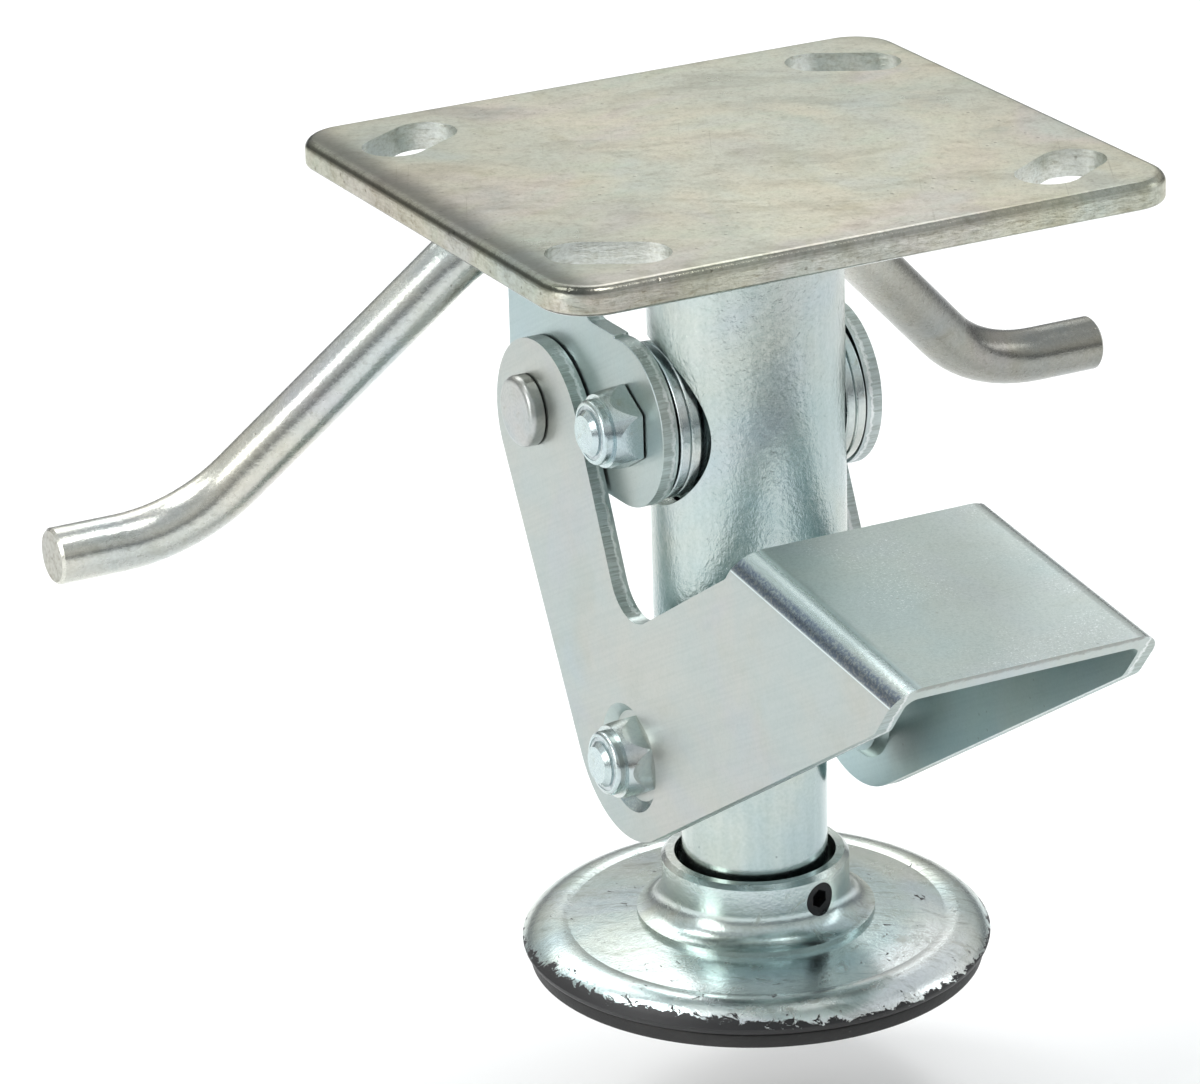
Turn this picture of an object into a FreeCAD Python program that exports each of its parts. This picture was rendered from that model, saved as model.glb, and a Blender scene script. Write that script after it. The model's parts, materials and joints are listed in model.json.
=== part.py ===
import FreeCAD, Part
import math
import os

# Foot-operated floor lock for a caster-mounted cart, drawn in its released (raised) state.
# Millimetres, +Z up. The origin is where the plunger's axis meets the mounting plate's top face, +X
# runs along the plate's long side and along every pivot axis, and the foot pedal points towards -Y.

Vec = FreeCAD.Vector
AXIS_X = Vec(1, 0, 0)
AXIS_Z = Vec(0, 0, 1)
SIDES = (-1, 1)
SIDE_NAMES = {-1: "left", 1: "right"}

# Mounting plate: 4-1/2 x 4 inch caster top plate with four slanting slots
PLATE_LENGTH = 114.3
PLATE_WIDTH = 101.6
PLATE_THICKNESS = 4.76
PLATE_OFFSET = (-2.1, 1.0)
PLATE_CORNER_RADIUS = 8.5
PLATE_TOP_ROUNDING = 1.8
PLATE_BOTTOM_ROUNDING = 0.8
SLOT_WIDTH = 11.1
SLOT_OUTER_SPACING = (92.075, 66.675)
SLOT_INNER_SPACING = (76.2, 76.2)
SLOT_PATTERN_SHIFT = 0.5

# Housing: 1 inch pipe welded under the plate
HOUSING_OUTER_RADIUS = 16.7
HOUSING_BORE_RADIUS = 13.3
HOUSING_END_Z = -94.0
HOUSING_WINDOW_CLEARANCE = 1.1
HOUSING_WELD_LEG = 3.4

# Plunger: 1 inch tube that slides in the housing
PLUNGER_OUTER_RADIUS = 12.7
PLUNGER_WALL = 2.9
PLUNGER_TOP_GAP = 4.0
FOOT_GROOVE_DEPTH = 0.9
FOOT_GROOVE_WIDTH = 5.6

# Pivot centres as (y, z): A is the crank on the housing, B the pedal on the crank,
# C the pedal on the plunger
PIVOT_A = (3.8, -45.4)
PIVOT_B = (33.0, -50.8)
PIVOT_C = (-0.5, -103.8)
CRANK_SWING = 86.0
OPEN_PIVOT_PLAY = 0.35

# Crank plates and pedal, both of 3 mm sheet
SHEET = 3.0
PEDAL_WIDTH = 49.0
CRANK_TO_PEDAL_GAP = 0.4
CRANK_PIVOT_END_RADIUS = 14.6
CRANK_PIVOT_END_OFFSET = 1.6
CRANK_PEDAL_END_RADIUS = 9.5
CRANK_TAB_FRONT_Y = 19.5
CRANK_TAB_REAR_Y = 47.0
CRANK_TAB_TOP_Z = -12.6
CRANK_TAB_BASE_Z = -30.5
CRANK_TAB_CORNER = 4.0
PEDAL_REAR_END_RADIUS = 15.6
PEDAL_REAR_END = (30.2, -53.2)
PEDAL_BEND_RADIUS = 5.0
TREAD_REAR = (-40.5, -53.2)
TREAD_FRONT = (-91.5, -59.3)
CHEEK_THROAT = (0.6, -81.6)
CHEEK_THROAT_RADIUS = 8.0
CHEEK_SHOULDER = (-36.0, -59.0)
CHEEK_HEEL = (8.0, -126.6)
CHEEK_HEEL_RADIUS = 18.5
CHEEK_TOE = (-84.0, -69.0)
CHEEK_TOE_RADIUS = 5.0
DIMPLE_RADIUS = 8.0
DIMPLE_DEPTH = 1.6

# Release bar: 10 mm round bar
BAR_RADIUS = 5.0
BAR_CENTRE = (40.0, -20.0)
BAR_SHOULDER_OUT = 8.2
BAR_ELBOW = (79.6, 57.1, -69.7)
BAR_HALF_LENGTH = 104.7
BAR_SHOULDER_RADIUS = 18.0
BAR_ELBOW_RADIUS = 30.0
BAR_WELD_LEG = 2.4
BAR_WELD_SPAN = 200
WELD_BELLY = 0.62

# Fasteners
BOLT_RADIUS = 4.0
BOLT_HEAD_FLATS = 13.0
BOLT_HEAD_HEIGHT = 3.4
NUT_FLATS = 13.0
NUT_HEX_HEIGHT = 4.9
NUT_CROWN_HEIGHT = 1.9
NUT_CROWN_RADIUS = 5.6
NUT_INSERT_HEIGHT = 1.8
BOLT_END_PROUD = 1.1
RUNNING_CLEARANCE = 0.06
FACE_CLEARANCE = 0.3
RIVET_SHANK_RADIUS = 4.0
RIVET_HEAD_RADIUS = 6.3
RIVET_HEAD_HEIGHT = 2.7
RIVET_HEAD_ROUNDING = 1.2

# Spacers on the two cross bolts
SLEEVE_OUTER_RADIUS = 7.0
SLEEVE_BORE_CLEARANCE = 0.05
SLEEVE_WAIST_RADIUS = 5.0
SLEEVE_WAIST_WIDTH = 2.6
DISC_RADIUS = 13.4
DISC_TO_PLUNGER_GAP = 1.1
DISC_RIM_ROUNDING = 0.45
LOWER_SPACER_RADIUS = 6.4

# Return spring inside the plunger
SPRING_WIRE_RADIUS = 0.9
SPRING_COIL_RADIUS = 5.0
SPRING_TURNS = 12
SPRING_LOOP_PLAY = 0.15
SPRING_NECK = 2.0
SPRING_HOOK_DRAW = 0.02

# Foot: turned collar, pressed steel disc and moulded rubber pad
COLLAR_TOP_Z = -126.6
COLLAR_OUTER_RADIUS = 16.4
COLLAR_BORE_RADIUS = 14.1
COLLAR_FLARE_RADIUS = 20.8
COLLAR_FLARE_HEIGHT = 5.0
COLLAR_EDGE_HEIGHT = 1.0
DISC_TOP_Z = -137.9
DISC_RADIUS_OUTER = 40.9
DISC_SHEET = 2.4
DISC_CROWN_RADIUS = 33.0
DISC_CROWN_DROP = 1.0
DISC_WIDEST_Z = -141.8
DISC_RIM_RADIUS = 39.7
DISC_RIM_Z = -143.2
PAD_BOTTOM_Z = -145.9
PAD_EDGE_ROUNDING = 1.8
SET_SCREW_RADIUS = 3.0
SET_SCREW_TIP_RADIUS = 2.0
SET_SCREW_Z = -131.0
SET_SCREW_AZIMUTH = -76.0
SET_SCREW_SOCKET_FLATS = 3.0
SET_SCREW_SOCKET_DEPTH = 2.2

# Places that follow from the sizes above
cheek_outer_x = PEDAL_WIDTH / 2
cheek_inner_x = cheek_outer_x - SHEET
ear_outer_x = cheek_inner_x - CRANK_TO_PEDAL_GAP
ear_inner_x = ear_outer_x - SHEET
disc_stack_outer_x = ear_inner_x - FACE_CLEARANCE
disc_thickness = (disc_stack_outer_x - PLUNGER_OUTER_RADIUS - DISC_TO_PLUNGER_GAP) / 2
plunger_top_z = -PLATE_THICKNESS - PLUNGER_TOP_GAP
plunger_end_z = DISC_TOP_Z + FACE_CLEARANCE
plunger_bore_radius = PLUNGER_OUTER_RADIUS - PLUNGER_WALL
window_radius = DISC_RADIUS + HOUSING_WINDOW_CLEARANCE


def vec_yz(point, x=0.0):
    return Vec(x, point[0], point[1])


def box(x_range, y_range, z_range):
    size = [high - low for low, high in (x_range, y_range, z_range)]
    return Part.makeBox(*size, Vec(x_range[0], y_range[0], z_range[0]))


def rod_x(radius, x_low, x_high, centre):
    """Round bar along X between two x values, centred on the (y, z) point."""
    return Part.makeCylinder(radius, x_high - x_low, vec_yz(centre, x_low), AXIS_X)


def rod_side(radius, inner, outer, side, centre):
    """Round bar along X from inner to outer distance on one side of the middle plane."""
    low, high = sorted((side * inner, side * outer))
    return rod_x(radius, low, high, centre)


def rod_z(radius, z_low, z_high):
    return Part.makeCylinder(radius, z_high - z_low, Vec(0, 0, z_low), AXIS_Z)


def tube_z(outer, inner, z_low, z_high):
    return rod_z(outer, z_low, z_high).cut(rod_z(inner, z_low, z_high))


def hex_prism_side(flats, inner, outer, side, centre):
    """Hexagonal prism along X on one side, with one corner pointing up."""
    corner = flats / math.sqrt(3)
    angles = [math.radians(60 * k + 90) for k in range(6)]
    ring = [Vec(0, corner * math.cos(a), corner * math.sin(a)) for a in angles]
    face = Part.Face(Part.makePolygon(ring + ring[:1]))
    face.translate(vec_yz(centre, side * inner))
    return face.extrude(Vec(side * (outer - inner), 0, 0))


def revolve_z(profile):
    """Solid of revolution about Z from closed (radius, z) points."""
    points = [Vec(r, 0, z) for r, z in profile]
    face = Part.Face(Part.makePolygon(points + points[:1]))
    return face.revolve(Vec(0, 0, 0), AXIS_Z, 360)


def rounded_outline(corners):
    """Closed (y, z) outline face at x = 0 from (y, z, radius) corners, each rounded by its radius."""
    starts, ends, mids = [], [], []
    count = len(corners)
    for i, (y, z, radius) in enumerate(corners):
        here = Vec(0, y, z)
        back = (Vec(0, *corners[i - 1][:2]) - here).normalize()
        ahead = (Vec(0, *corners[(i + 1) % count][:2]) - here).normalize()
        half = back.getAngle(ahead) / 2
        reach = radius / math.tan(half)
        bisector = (back + ahead).normalize()
        starts.append(here + back * reach)
        ends.append(here + ahead * reach)
        mids.append(here + bisector * (radius / math.sin(half) - radius))
    edges = []
    for i in range(count):
        if corners[i][2] > 0:
            edges.append(Part.Arc(starts[i], mids[i], ends[i]).toShape())
        following = starts[(i + 1) % count]
        if (following - ends[i]).Length > 1e-6:
            edges.append(Part.LineSegment(ends[i], following).toShape())
    return Part.Face(Part.Wire(edges))


def sheet_side(face, inner, outer, side):
    """Sheet cut to a (y, z) face, between two distances on one side of the middle plane."""
    plate = face.copy()
    plate.translate(Vec(side * inner, 0, 0))
    return plate.extrude(Vec(side * (outer - inner), 0, 0))


def tangent_corner(centre, radius, toward, turn):
    """Point where a line from `toward` touches a circle, on the left (1) or right (-1) of the way."""
    dy, dz = centre[0] - toward[0], centre[1] - toward[1]
    distance = math.hypot(dy, dz)
    heading = math.atan2(dz, dy) + turn * math.asin(radius / distance)
    reach = math.sqrt(distance ** 2 - radius ** 2)
    return (toward[0] + reach * math.cos(heading), toward[1] + reach * math.sin(heading))


def make_top_plate():
    half_x, half_y = PLATE_LENGTH / 2, PLATE_WIDTH / 2
    plate = box((-half_x, half_x), (-half_y, half_y), (-PLATE_THICKNESS, 0))
    upright = [e for e in plate.Edges if abs(e.tangentAt(e.FirstParameter).z) > 0.9]
    plate = plate.makeFillet(PLATE_CORNER_RADIUS, upright)
    top = [e for e in plate.Edges if e.BoundBox.ZMin > -0.01]
    plate = plate.makeFillet(PLATE_TOP_ROUNDING, top)
    bottom = [e for e in plate.Edges if e.BoundBox.ZMax < -PLATE_THICKNESS + 0.01]
    plate = plate.makeFillet(PLATE_BOTTOM_ROUNDING, bottom)
    for sx in SIDES:
        for sy in SIDES:
            plate = plate.cut(slot_cutter(sx, sy))
    plate.translate(Vec(*PLATE_OFFSET, 0))
    return plate


def slot_cutter(sx, sy):
    outer = Vec(sx * SLOT_OUTER_SPACING[0] / 2, sy * SLOT_OUTER_SPACING[1] / 2, -PLATE_THICKNESS)
    inner = Vec(sx * SLOT_INNER_SPACING[0] / 2, sy * SLOT_INNER_SPACING[1] / 2, -PLATE_THICKNESS)
    radius = SLOT_WIDTH / 2
    along = inner - outer
    bar = Part.makeBox(along.Length, SLOT_WIDTH, 3 * PLATE_THICKNESS, Vec(0, -radius, 0))
    bar.rotate(Vec(0, 0, 0), AXIS_Z, math.degrees(math.atan2(along.y, along.x)))
    bar.translate(outer)
    cutter = bar
    for end in (outer, inner):
        cutter = cutter.fuse(Part.makeCylinder(radius, 3 * PLATE_THICKNESS, end))
    cutter.translate(Vec(SLOT_PATTERN_SHIFT, 0, -PLATE_THICKNESS))
    return cutter


def make_housing_tube():
    tube = tube_z(HOUSING_OUTER_RADIUS, HOUSING_BORE_RADIUS, HOUSING_END_Z, -PLATE_THICKNESS)
    window = rod_x(window_radius, -2 * HOUSING_OUTER_RADIUS, 2 * HOUSING_OUTER_RADIUS, PIVOT_A)
    return tube.cut(window)


def make_housing_weld():
    top = -PLATE_THICKNESS
    toe = HOUSING_OUTER_RADIUS + HOUSING_WELD_LEG
    belly = HOUSING_WELD_LEG * WELD_BELLY
    return revolve_z([
        (HOUSING_OUTER_RADIUS, top),
        (toe, top),
        (HOUSING_OUTER_RADIUS + belly, top - belly),
        (HOUSING_OUTER_RADIUS, top - HOUSING_WELD_LEG),
    ])


def make_pivot_sleeve():
    sleeve = rod_x(SLEEVE_OUTER_RADIUS, -disc_stack_outer_x, disc_stack_outer_x, PIVOT_A)
    bore = rod_x(BOLT_RADIUS + SLEEVE_BORE_CLEARANCE, -2 * cheek_outer_x, 2 * cheek_outer_x, PIVOT_A)
    waist = rod_x(2 * SLEEVE_OUTER_RADIUS, -SLEEVE_WAIST_WIDTH / 2, SLEEVE_WAIST_WIDTH / 2, PIVOT_A)
    waist = waist.cut(rod_x(SLEEVE_WAIST_RADIUS, -SLEEVE_WAIST_WIDTH, SLEEVE_WAIST_WIDTH, PIVOT_A))
    return sleeve.cut(bore).cut(waist)


def make_pivot_discs(side):
    discs = []
    for k in range(2):
        outer = disc_stack_outer_x - k * disc_thickness
        disc = rod_side(DISC_RADIUS, outer - disc_thickness, outer, side, PIVOT_A)
        rims = [e for e in disc.Edges if e.Length > 6 * DISC_RADIUS]
        disc = disc.makeFillet(DISC_RIM_ROUNDING, rims)
        discs.append(disc.cut(rod_side(SLEEVE_OUTER_RADIUS, 0, 2 * outer, side, PIVOT_A)))
    return Part.makeCompound(discs)


def make_cross_bolt(centre, nut_face, head_face):
    """Hex bolt along X with its head on the right and its threaded end past the nut on the left."""
    end = nut_face + NUT_HEX_HEIGHT + NUT_CROWN_HEIGHT + BOLT_END_PROUD
    shank = rod_x(BOLT_RADIUS, -end, head_face, centre)
    tip = [e for e in shank.Edges if e.BoundBox.XMax < -end + 0.01]
    shank = shank.makeChamfer(0.8, tip)
    head = hex_prism_side(BOLT_HEAD_FLATS, head_face, head_face + BOLT_HEAD_HEIGHT, 1, centre)
    dome = Part.makeCone(BOLT_HEAD_FLATS / 2 + 2.6, BOLT_HEAD_FLATS / 2 - 0.3, BOLT_HEAD_HEIGHT,
                         vec_yz(centre, head_face), AXIS_X)
    return shank.fuse(head.common(dome)).removeSplitter()


def make_lock_nut(centre, face):
    top = face + NUT_HEX_HEIGHT
    crown_top = top + NUT_CROWN_HEIGHT
    blank = hex_prism_side(NUT_FLATS, face, top, -1, centre)
    corner = NUT_FLATS / math.sqrt(3)
    dome = Part.makeCone(corner + 0.25, NUT_FLATS / 2 - 0.2, NUT_HEX_HEIGHT,
                         vec_yz(centre, -face), Vec(-1, 0, 0))
    crown = rod_side(NUT_CROWN_RADIUS, top - 0.5, crown_top, -1, centre)
    lip = [e for e in crown.Edges if e.BoundBox.XMax < -crown_top + 0.01]
    crown = crown.makeFillet(0.7, lip)
    nut = blank.common(dome).fuse(crown)
    nut = nut.cut(rod_side(BOLT_RADIUS, 0, 2 * crown_top, -1, centre))
    seat = rod_side(NUT_CROWN_RADIUS - 0.9, crown_top - NUT_INSERT_HEIGHT, 2 * crown_top, -1, centre)
    return nut.cut(seat)


def make_nut_insert(centre, face):
    crown_top = face + NUT_HEX_HEIGHT + NUT_CROWN_HEIGHT
    ring = rod_side(NUT_CROWN_RADIUS - 0.9, crown_top - NUT_INSERT_HEIGHT, crown_top - 0.2, -1, centre)
    return ring.cut(rod_side(BOLT_RADIUS, 0, 2 * crown_top, -1, centre))


def make_crank_plate(side):
    tab = rounded_outline([
        (CRANK_TAB_FRONT_Y, CRANK_TAB_TOP_Z, 1.5),
        (CRANK_TAB_REAR_Y, CRANK_TAB_TOP_Z, 5.0),
        (CRANK_TAB_REAR_Y, PIVOT_B[1] - 4.0, 8.0),
        (PIVOT_B[0], PIVOT_B[1] - 4.0, 0),
        (PIVOT_A[0] + 4.0, PIVOT_A[1], 0),
        (PIVOT_A[0] + 4.0, CRANK_TAB_BASE_Z, 0),
        (CRANK_TAB_FRONT_Y, CRANK_TAB_BASE_Z, CRANK_TAB_CORNER),
    ])
    plate = sheet_side(tab, ear_inner_x, ear_outer_x, side)
    front_end = (PIVOT_A[0] + CRANK_PIVOT_END_OFFSET, PIVOT_A[1])
    web_points = hull_of_circles(front_end, CRANK_PIVOT_END_RADIUS, PIVOT_B, CRANK_PEDAL_END_RADIUS)
    web = Part.Face(Part.makePolygon([Vec(0, *p) for p in web_points + web_points[:1]]))
    plate = plate.fuse(sheet_side(web, ear_inner_x, ear_outer_x, side))
    for centre, radius in ((front_end, CRANK_PIVOT_END_RADIUS), (PIVOT_B, CRANK_PEDAL_END_RADIUS)):
        plate = plate.fuse(rod_side(radius, ear_inner_x, ear_outer_x, side, centre))
    plate = plate.removeSplitter()
    reach = 2 * ear_outer_x
    plate = plate.cut(rod_side(BOLT_RADIUS + RUNNING_CLEARANCE, 0, reach, side, PIVOT_A))
    plate = plate.cut(rod_side(RIVET_SHANK_RADIUS, 0, reach, side, PIVOT_B))
    return plate.cut(rod_side(BAR_RADIUS, 0, reach, side, BAR_CENTRE))


def hull_of_circles(centre_a, radius_a, centre_b, radius_b):
    """Four points where the two outer tangent lines touch two circles, in order round the shape."""
    dy, dz = centre_b[0] - centre_a[0], centre_b[1] - centre_a[1]
    distance = math.hypot(dy, dz)
    heading = math.atan2(dz, dy)
    spread = math.acos((radius_a - radius_b) / distance)
    points = []
    for centre, radius, turn in ((centre_a, radius_a, 1), (centre_b, radius_b, 1),
                                 (centre_b, radius_b, -1), (centre_a, radius_a, -1)):
        angle = heading + turn * spread
        points.append((centre[0] + radius * math.cos(angle), centre[1] + radius * math.sin(angle)))
    return points


def bar_path():
    """Centre line of the release bar: straight runs joined by arcs, from left end to right end."""
    half = [
        Vec(BAR_HALF_LENGTH, BAR_ELBOW[1], BAR_ELBOW[2]),
        Vec(*BAR_ELBOW),
        vec_yz(BAR_CENTRE, ear_outer_x + BAR_SHOULDER_OUT),
    ]
    left = [Vec(-p.x, p.y, p.z) for p in half]
    points = left + half[::-1]
    radii = [0, BAR_ELBOW_RADIUS, BAR_SHOULDER_RADIUS, BAR_SHOULDER_RADIUS, BAR_ELBOW_RADIUS, 0]
    edges = []
    start = points[0]
    for i in range(1, len(points) - 1):
        here = points[i]
        back = (points[i - 1] - here).normalize()
        ahead = (points[i + 1] - here).normalize()
        half_angle = back.getAngle(ahead) / 2
        reach = radii[i] / math.tan(half_angle)
        middle = here + (back + ahead).normalize() * (radii[i] / math.sin(half_angle) - radii[i])
        edges.append(Part.LineSegment(start, here + back * reach).toShape())
        edges.append(Part.Arc(here + back * reach, middle, here + ahead * reach).toShape())
        start = here + ahead * reach
    edges.append(Part.LineSegment(start, points[-1]).toShape())
    return Part.Wire(edges)


def make_release_bar():
    path = bar_path()
    start = Vec(-BAR_HALF_LENGTH, BAR_ELBOW[1], BAR_ELBOW[2])
    section = Part.Wire([Part.makeCircle(BAR_RADIUS, start, AXIS_X)])
    bar = path.makePipeShell([section], True, False)
    rims = [e for e in bar.Edges if abs(abs(e.BoundBox.Center.x) - BAR_HALF_LENGTH) < 0.01]
    return bar.makeChamfer(0.5, rims)


def make_bar_welds():
    """Fillet welds between the release bar and the inner face of each crank plate."""
    leg = BAR_WELD_LEG
    welds = []
    for side in SIDES:
        x = side * ear_inner_x
        run = -side * leg
        profile = [(x, 0.0), (x + run, 0.0), (x + WELD_BELLY * run, WELD_BELLY * leg), (x, leg)]
        points = [Vec(px, BAR_CENTRE[0], BAR_CENTRE[1] + BAR_RADIUS + up) for px, up in profile]
        face = Part.Face(Part.makePolygon(points + points[:1]))
        bead = face.revolve(vec_yz(BAR_CENTRE), AXIS_X, BAR_WELD_SPAN)
        bead.rotate(vec_yz(BAR_CENTRE), AXIS_X, 180 - BAR_WELD_SPAN / 2)
        welds.append(bead)
    return Part.makeCompound(welds)


def make_crank_rivets():
    rivets = []
    for side in SIDES:
        seat = cheek_outer_x + FACE_CLEARANCE
        shank = rod_side(RIVET_SHANK_RADIUS, ear_inner_x, seat + 1.0, side, PIVOT_B)
        head = rod_side(RIVET_HEAD_RADIUS, seat, seat + RIVET_HEAD_HEIGHT, side, PIVOT_B)
        rim = [e for e in head.Edges if abs(e.BoundBox.Center.x) > seat + RIVET_HEAD_HEIGHT - 0.01
               and e.Length > RIVET_HEAD_RADIUS * 6]
        head = head.makeFillet(RIVET_HEAD_ROUNDING, rim)
        rivets.append(shank.fuse(head).removeSplitter())
    return Part.makeCompound(rivets)


def cheek_outline():
    """Side view of the pedal: both cheeks are cut to this and the tread closes their front top."""
    rear_top = tangent_corner(PEDAL_REAR_END, PEDAL_REAR_END_RADIUS, CHEEK_HEEL, -1)
    front_top = tangent_corner(PEDAL_REAR_END, PEDAL_REAR_END_RADIUS, CHEEK_THROAT, 1)
    return rounded_outline([
        (*TREAD_FRONT, 0),
        (*TREAD_REAR, 0),
        (*CHEEK_SHOULDER, 2.0),
        (*CHEEK_THROAT, CHEEK_THROAT_RADIUS),
        (*front_top, 0),
        (*PEDAL_REAR_END, 0),
        (*rear_top, 0),
        (*CHEEK_HEEL, CHEEK_HEEL_RADIUS),
        (*CHEEK_TOE, CHEEK_TOE_RADIUS),
    ])


def pedal_blank(half_width, face, end_radius, top_drop, bend):
    """Solid block of the pedal's side view, its two long top edges over the tread rounded."""
    block = sheet_side(face, -half_width, half_width, 1)
    block = block.fuse(rod_x(end_radius, -half_width, half_width, PEDAL_REAR_END)).removeSplitter()
    rear = Vec(0, *TREAD_REAR)
    front = Vec(0, *TREAD_FRONT)
    slope = (front - rear).normalize()
    edges = []
    for edge in block.Edges:
        ends = [v.Point for v in edge.Vertexes]
        if len(ends) == 2 and all(abs(abs(p.x) - half_width) < 1e-6 for p in ends):
            run = ends[1] - ends[0]
            if abs(run.x) < 1e-6 and run.Length > 30 and run.normalize().cross(slope).Length < 1e-3:
                middle = edge.BoundBox.Center
                if abs(middle.z - (rear.z + front.z) / 2 + top_drop) < 2.0:
                    edges.append(edge)
    return block.makeFillet(bend, edges)


def make_pedal():
    face = cheek_outline()
    outer = pedal_blank(cheek_outer_x, face, PEDAL_REAR_END_RADIUS, 0, PEDAL_BEND_RADIUS)
    rear = Vec(0, *TREAD_REAR)
    front = Vec(0, *TREAD_FRONT)
    slope = (front - rear).normalize()
    down = Vec(0, -slope.z, slope.y)
    if down.z > 0:
        down = down * -1
    inside = Part.makeBox(2 * cheek_inner_x, 400, 400, Vec(-cheek_inner_x, -200, -400))
    upper = [e for e in inside.Edges if e.BoundBox.ZMin > -0.01
             and abs(abs(e.BoundBox.Center.x) - cheek_inner_x) < 0.01]
    inside = inside.makeFillet(PEDAL_BEND_RADIUS - SHEET, upper)
    inside.rotate(Vec(0, 0, 0), AXIS_X, math.degrees(math.atan2(-slope.z, -slope.y)))
    inside.translate(rear + down * SHEET)
    opening = box((-cheek_inner_x, cheek_inner_x), (TREAD_REAR[0], 400), (-400, 400))
    pedal = outer.cut(inside).cut(opening)
    for side in SIDES:
        low, high = cheek_inner_x - DIMPLE_DEPTH, cheek_outer_x - DIMPLE_DEPTH
        boss = Part.makeCone(DIMPLE_RADIUS, DIMPLE_RADIUS + DIMPLE_DEPTH, DIMPLE_DEPTH,
                             vec_yz(PIVOT_C, side * low), AXIS_X * side)
        hollow = Part.makeCone(DIMPLE_RADIUS, DIMPLE_RADIUS + DIMPLE_DEPTH, DIMPLE_DEPTH,
                               vec_yz(PIVOT_C, side * high), AXIS_X * side)
        pedal = pedal.fuse(boss).cut(hollow)
        reach = 2 * cheek_outer_x
        pedal = pedal.cut(rod_side(BOLT_RADIUS, 0, reach, side, PIVOT_C))
        pedal = pedal.cut(rod_side(RIVET_SHANK_RADIUS + RUNNING_CLEARANCE, 0, reach, side, PIVOT_B))
    return pedal.removeSplitter()


def make_lower_spacers():
    spacers = []
    for side in SIDES:
        inner = PLUNGER_OUTER_RADIUS + FACE_CLEARANCE
        outer = cheek_inner_x - DIMPLE_DEPTH
        spacer = rod_side(LOWER_SPACER_RADIUS, inner, outer, side, PIVOT_C)
        spacers.append(spacer.cut(rod_side(BOLT_RADIUS, 0, 2 * outer, side, PIVOT_C)))
    return Part.makeCompound(spacers)


def linkage_at(swing):
    """Pivots B and C and the pedal's lean when the crank has swung down by `swing` radians."""
    arm = (PIVOT_B[0] - PIVOT_A[0], PIVOT_B[1] - PIVOT_A[1])
    link = math.dist(PIVOT_B, PIVOT_C)
    turn = math.atan2(arm[1], arm[0]) - swing
    b_y = PIVOT_A[0] + math.hypot(*arm) * math.cos(turn)
    b_z = PIVOT_A[1] + math.hypot(*arm) * math.sin(turn)
    c_z = b_z - math.sqrt(link ** 2 - (b_y - PIVOT_C[0]) ** 2)
    return b_y, b_z, c_z, math.atan2(b_z - c_z, b_y - PIVOT_C[0])


def open_pivot_room():
    """How far pivot C strays rearward and down from the plunger while both move in proportion."""
    link = math.dist(PIVOT_B, PIVOT_C)
    swing = math.radians(CRANK_SWING)
    start, end = linkage_at(0), linkage_at(swing)
    shifts, drops = [0.0], [0.0]
    for step in range(1, 60):
        part = step / 60
        b_y, b_z = linkage_at(swing * part)[:2]
        lean = start[3] + (end[3] - start[3]) * part
        c_z = start[2] + (end[2] - start[2]) * part
        shifts.append(b_y - link * math.cos(lean) - PIVOT_C[0])
        drops.append(c_z - (b_z - link * math.sin(lean)))
    return max(shifts), max(drops)


def make_plunger_tube():
    tube = tube_z(PLUNGER_OUTER_RADIUS, plunger_bore_radius, plunger_end_z, plunger_top_z)
    reach = 2 * PLUNGER_OUTER_RADIUS
    half = SLEEVE_OUTER_RADIUS + 2 * FACE_CLEARANCE
    fork = box((-reach, reach), (PIVOT_A[0] - half, PIVOT_A[0] + half), (PIVOT_A[1], 10))
    tube = tube.cut(fork).cut(rod_x(half, -reach, reach, PIVOT_A))
    play = BOLT_RADIUS + OPEN_PIVOT_PLAY
    shift, drop = open_pivot_room()
    front, rear = PIVOT_C[0] - play, PIVOT_C[0] + shift + play
    top, bottom = PIVOT_C[1] + play, PIVOT_C[1] - drop - play
    slot = sheet_side(rounded_outline([
        (front, top, play - 0.2),
        (rear, top, play - 0.2),
        (rear, bottom, play - 0.2),
        (front, bottom, play - 0.2),
    ]), -reach, reach, 1)
    groove_low = SET_SCREW_Z - FOOT_GROOVE_WIDTH / 2
    groove = tube_z(reach, PLUNGER_OUTER_RADIUS - FOOT_GROOVE_DEPTH, groove_low,
                    groove_low + FOOT_GROOVE_WIDTH)
    return tube.cut(slot).cut(groove)


def make_plunger_plug():
    return rod_z(plunger_bore_radius, plunger_end_z, plunger_end_z + 5.0)


def ring_loop(radius, centre):
    return Part.makeTorus(radius, SPRING_WIRE_RADIUS, vec_yz(centre), AXIS_X)


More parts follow.
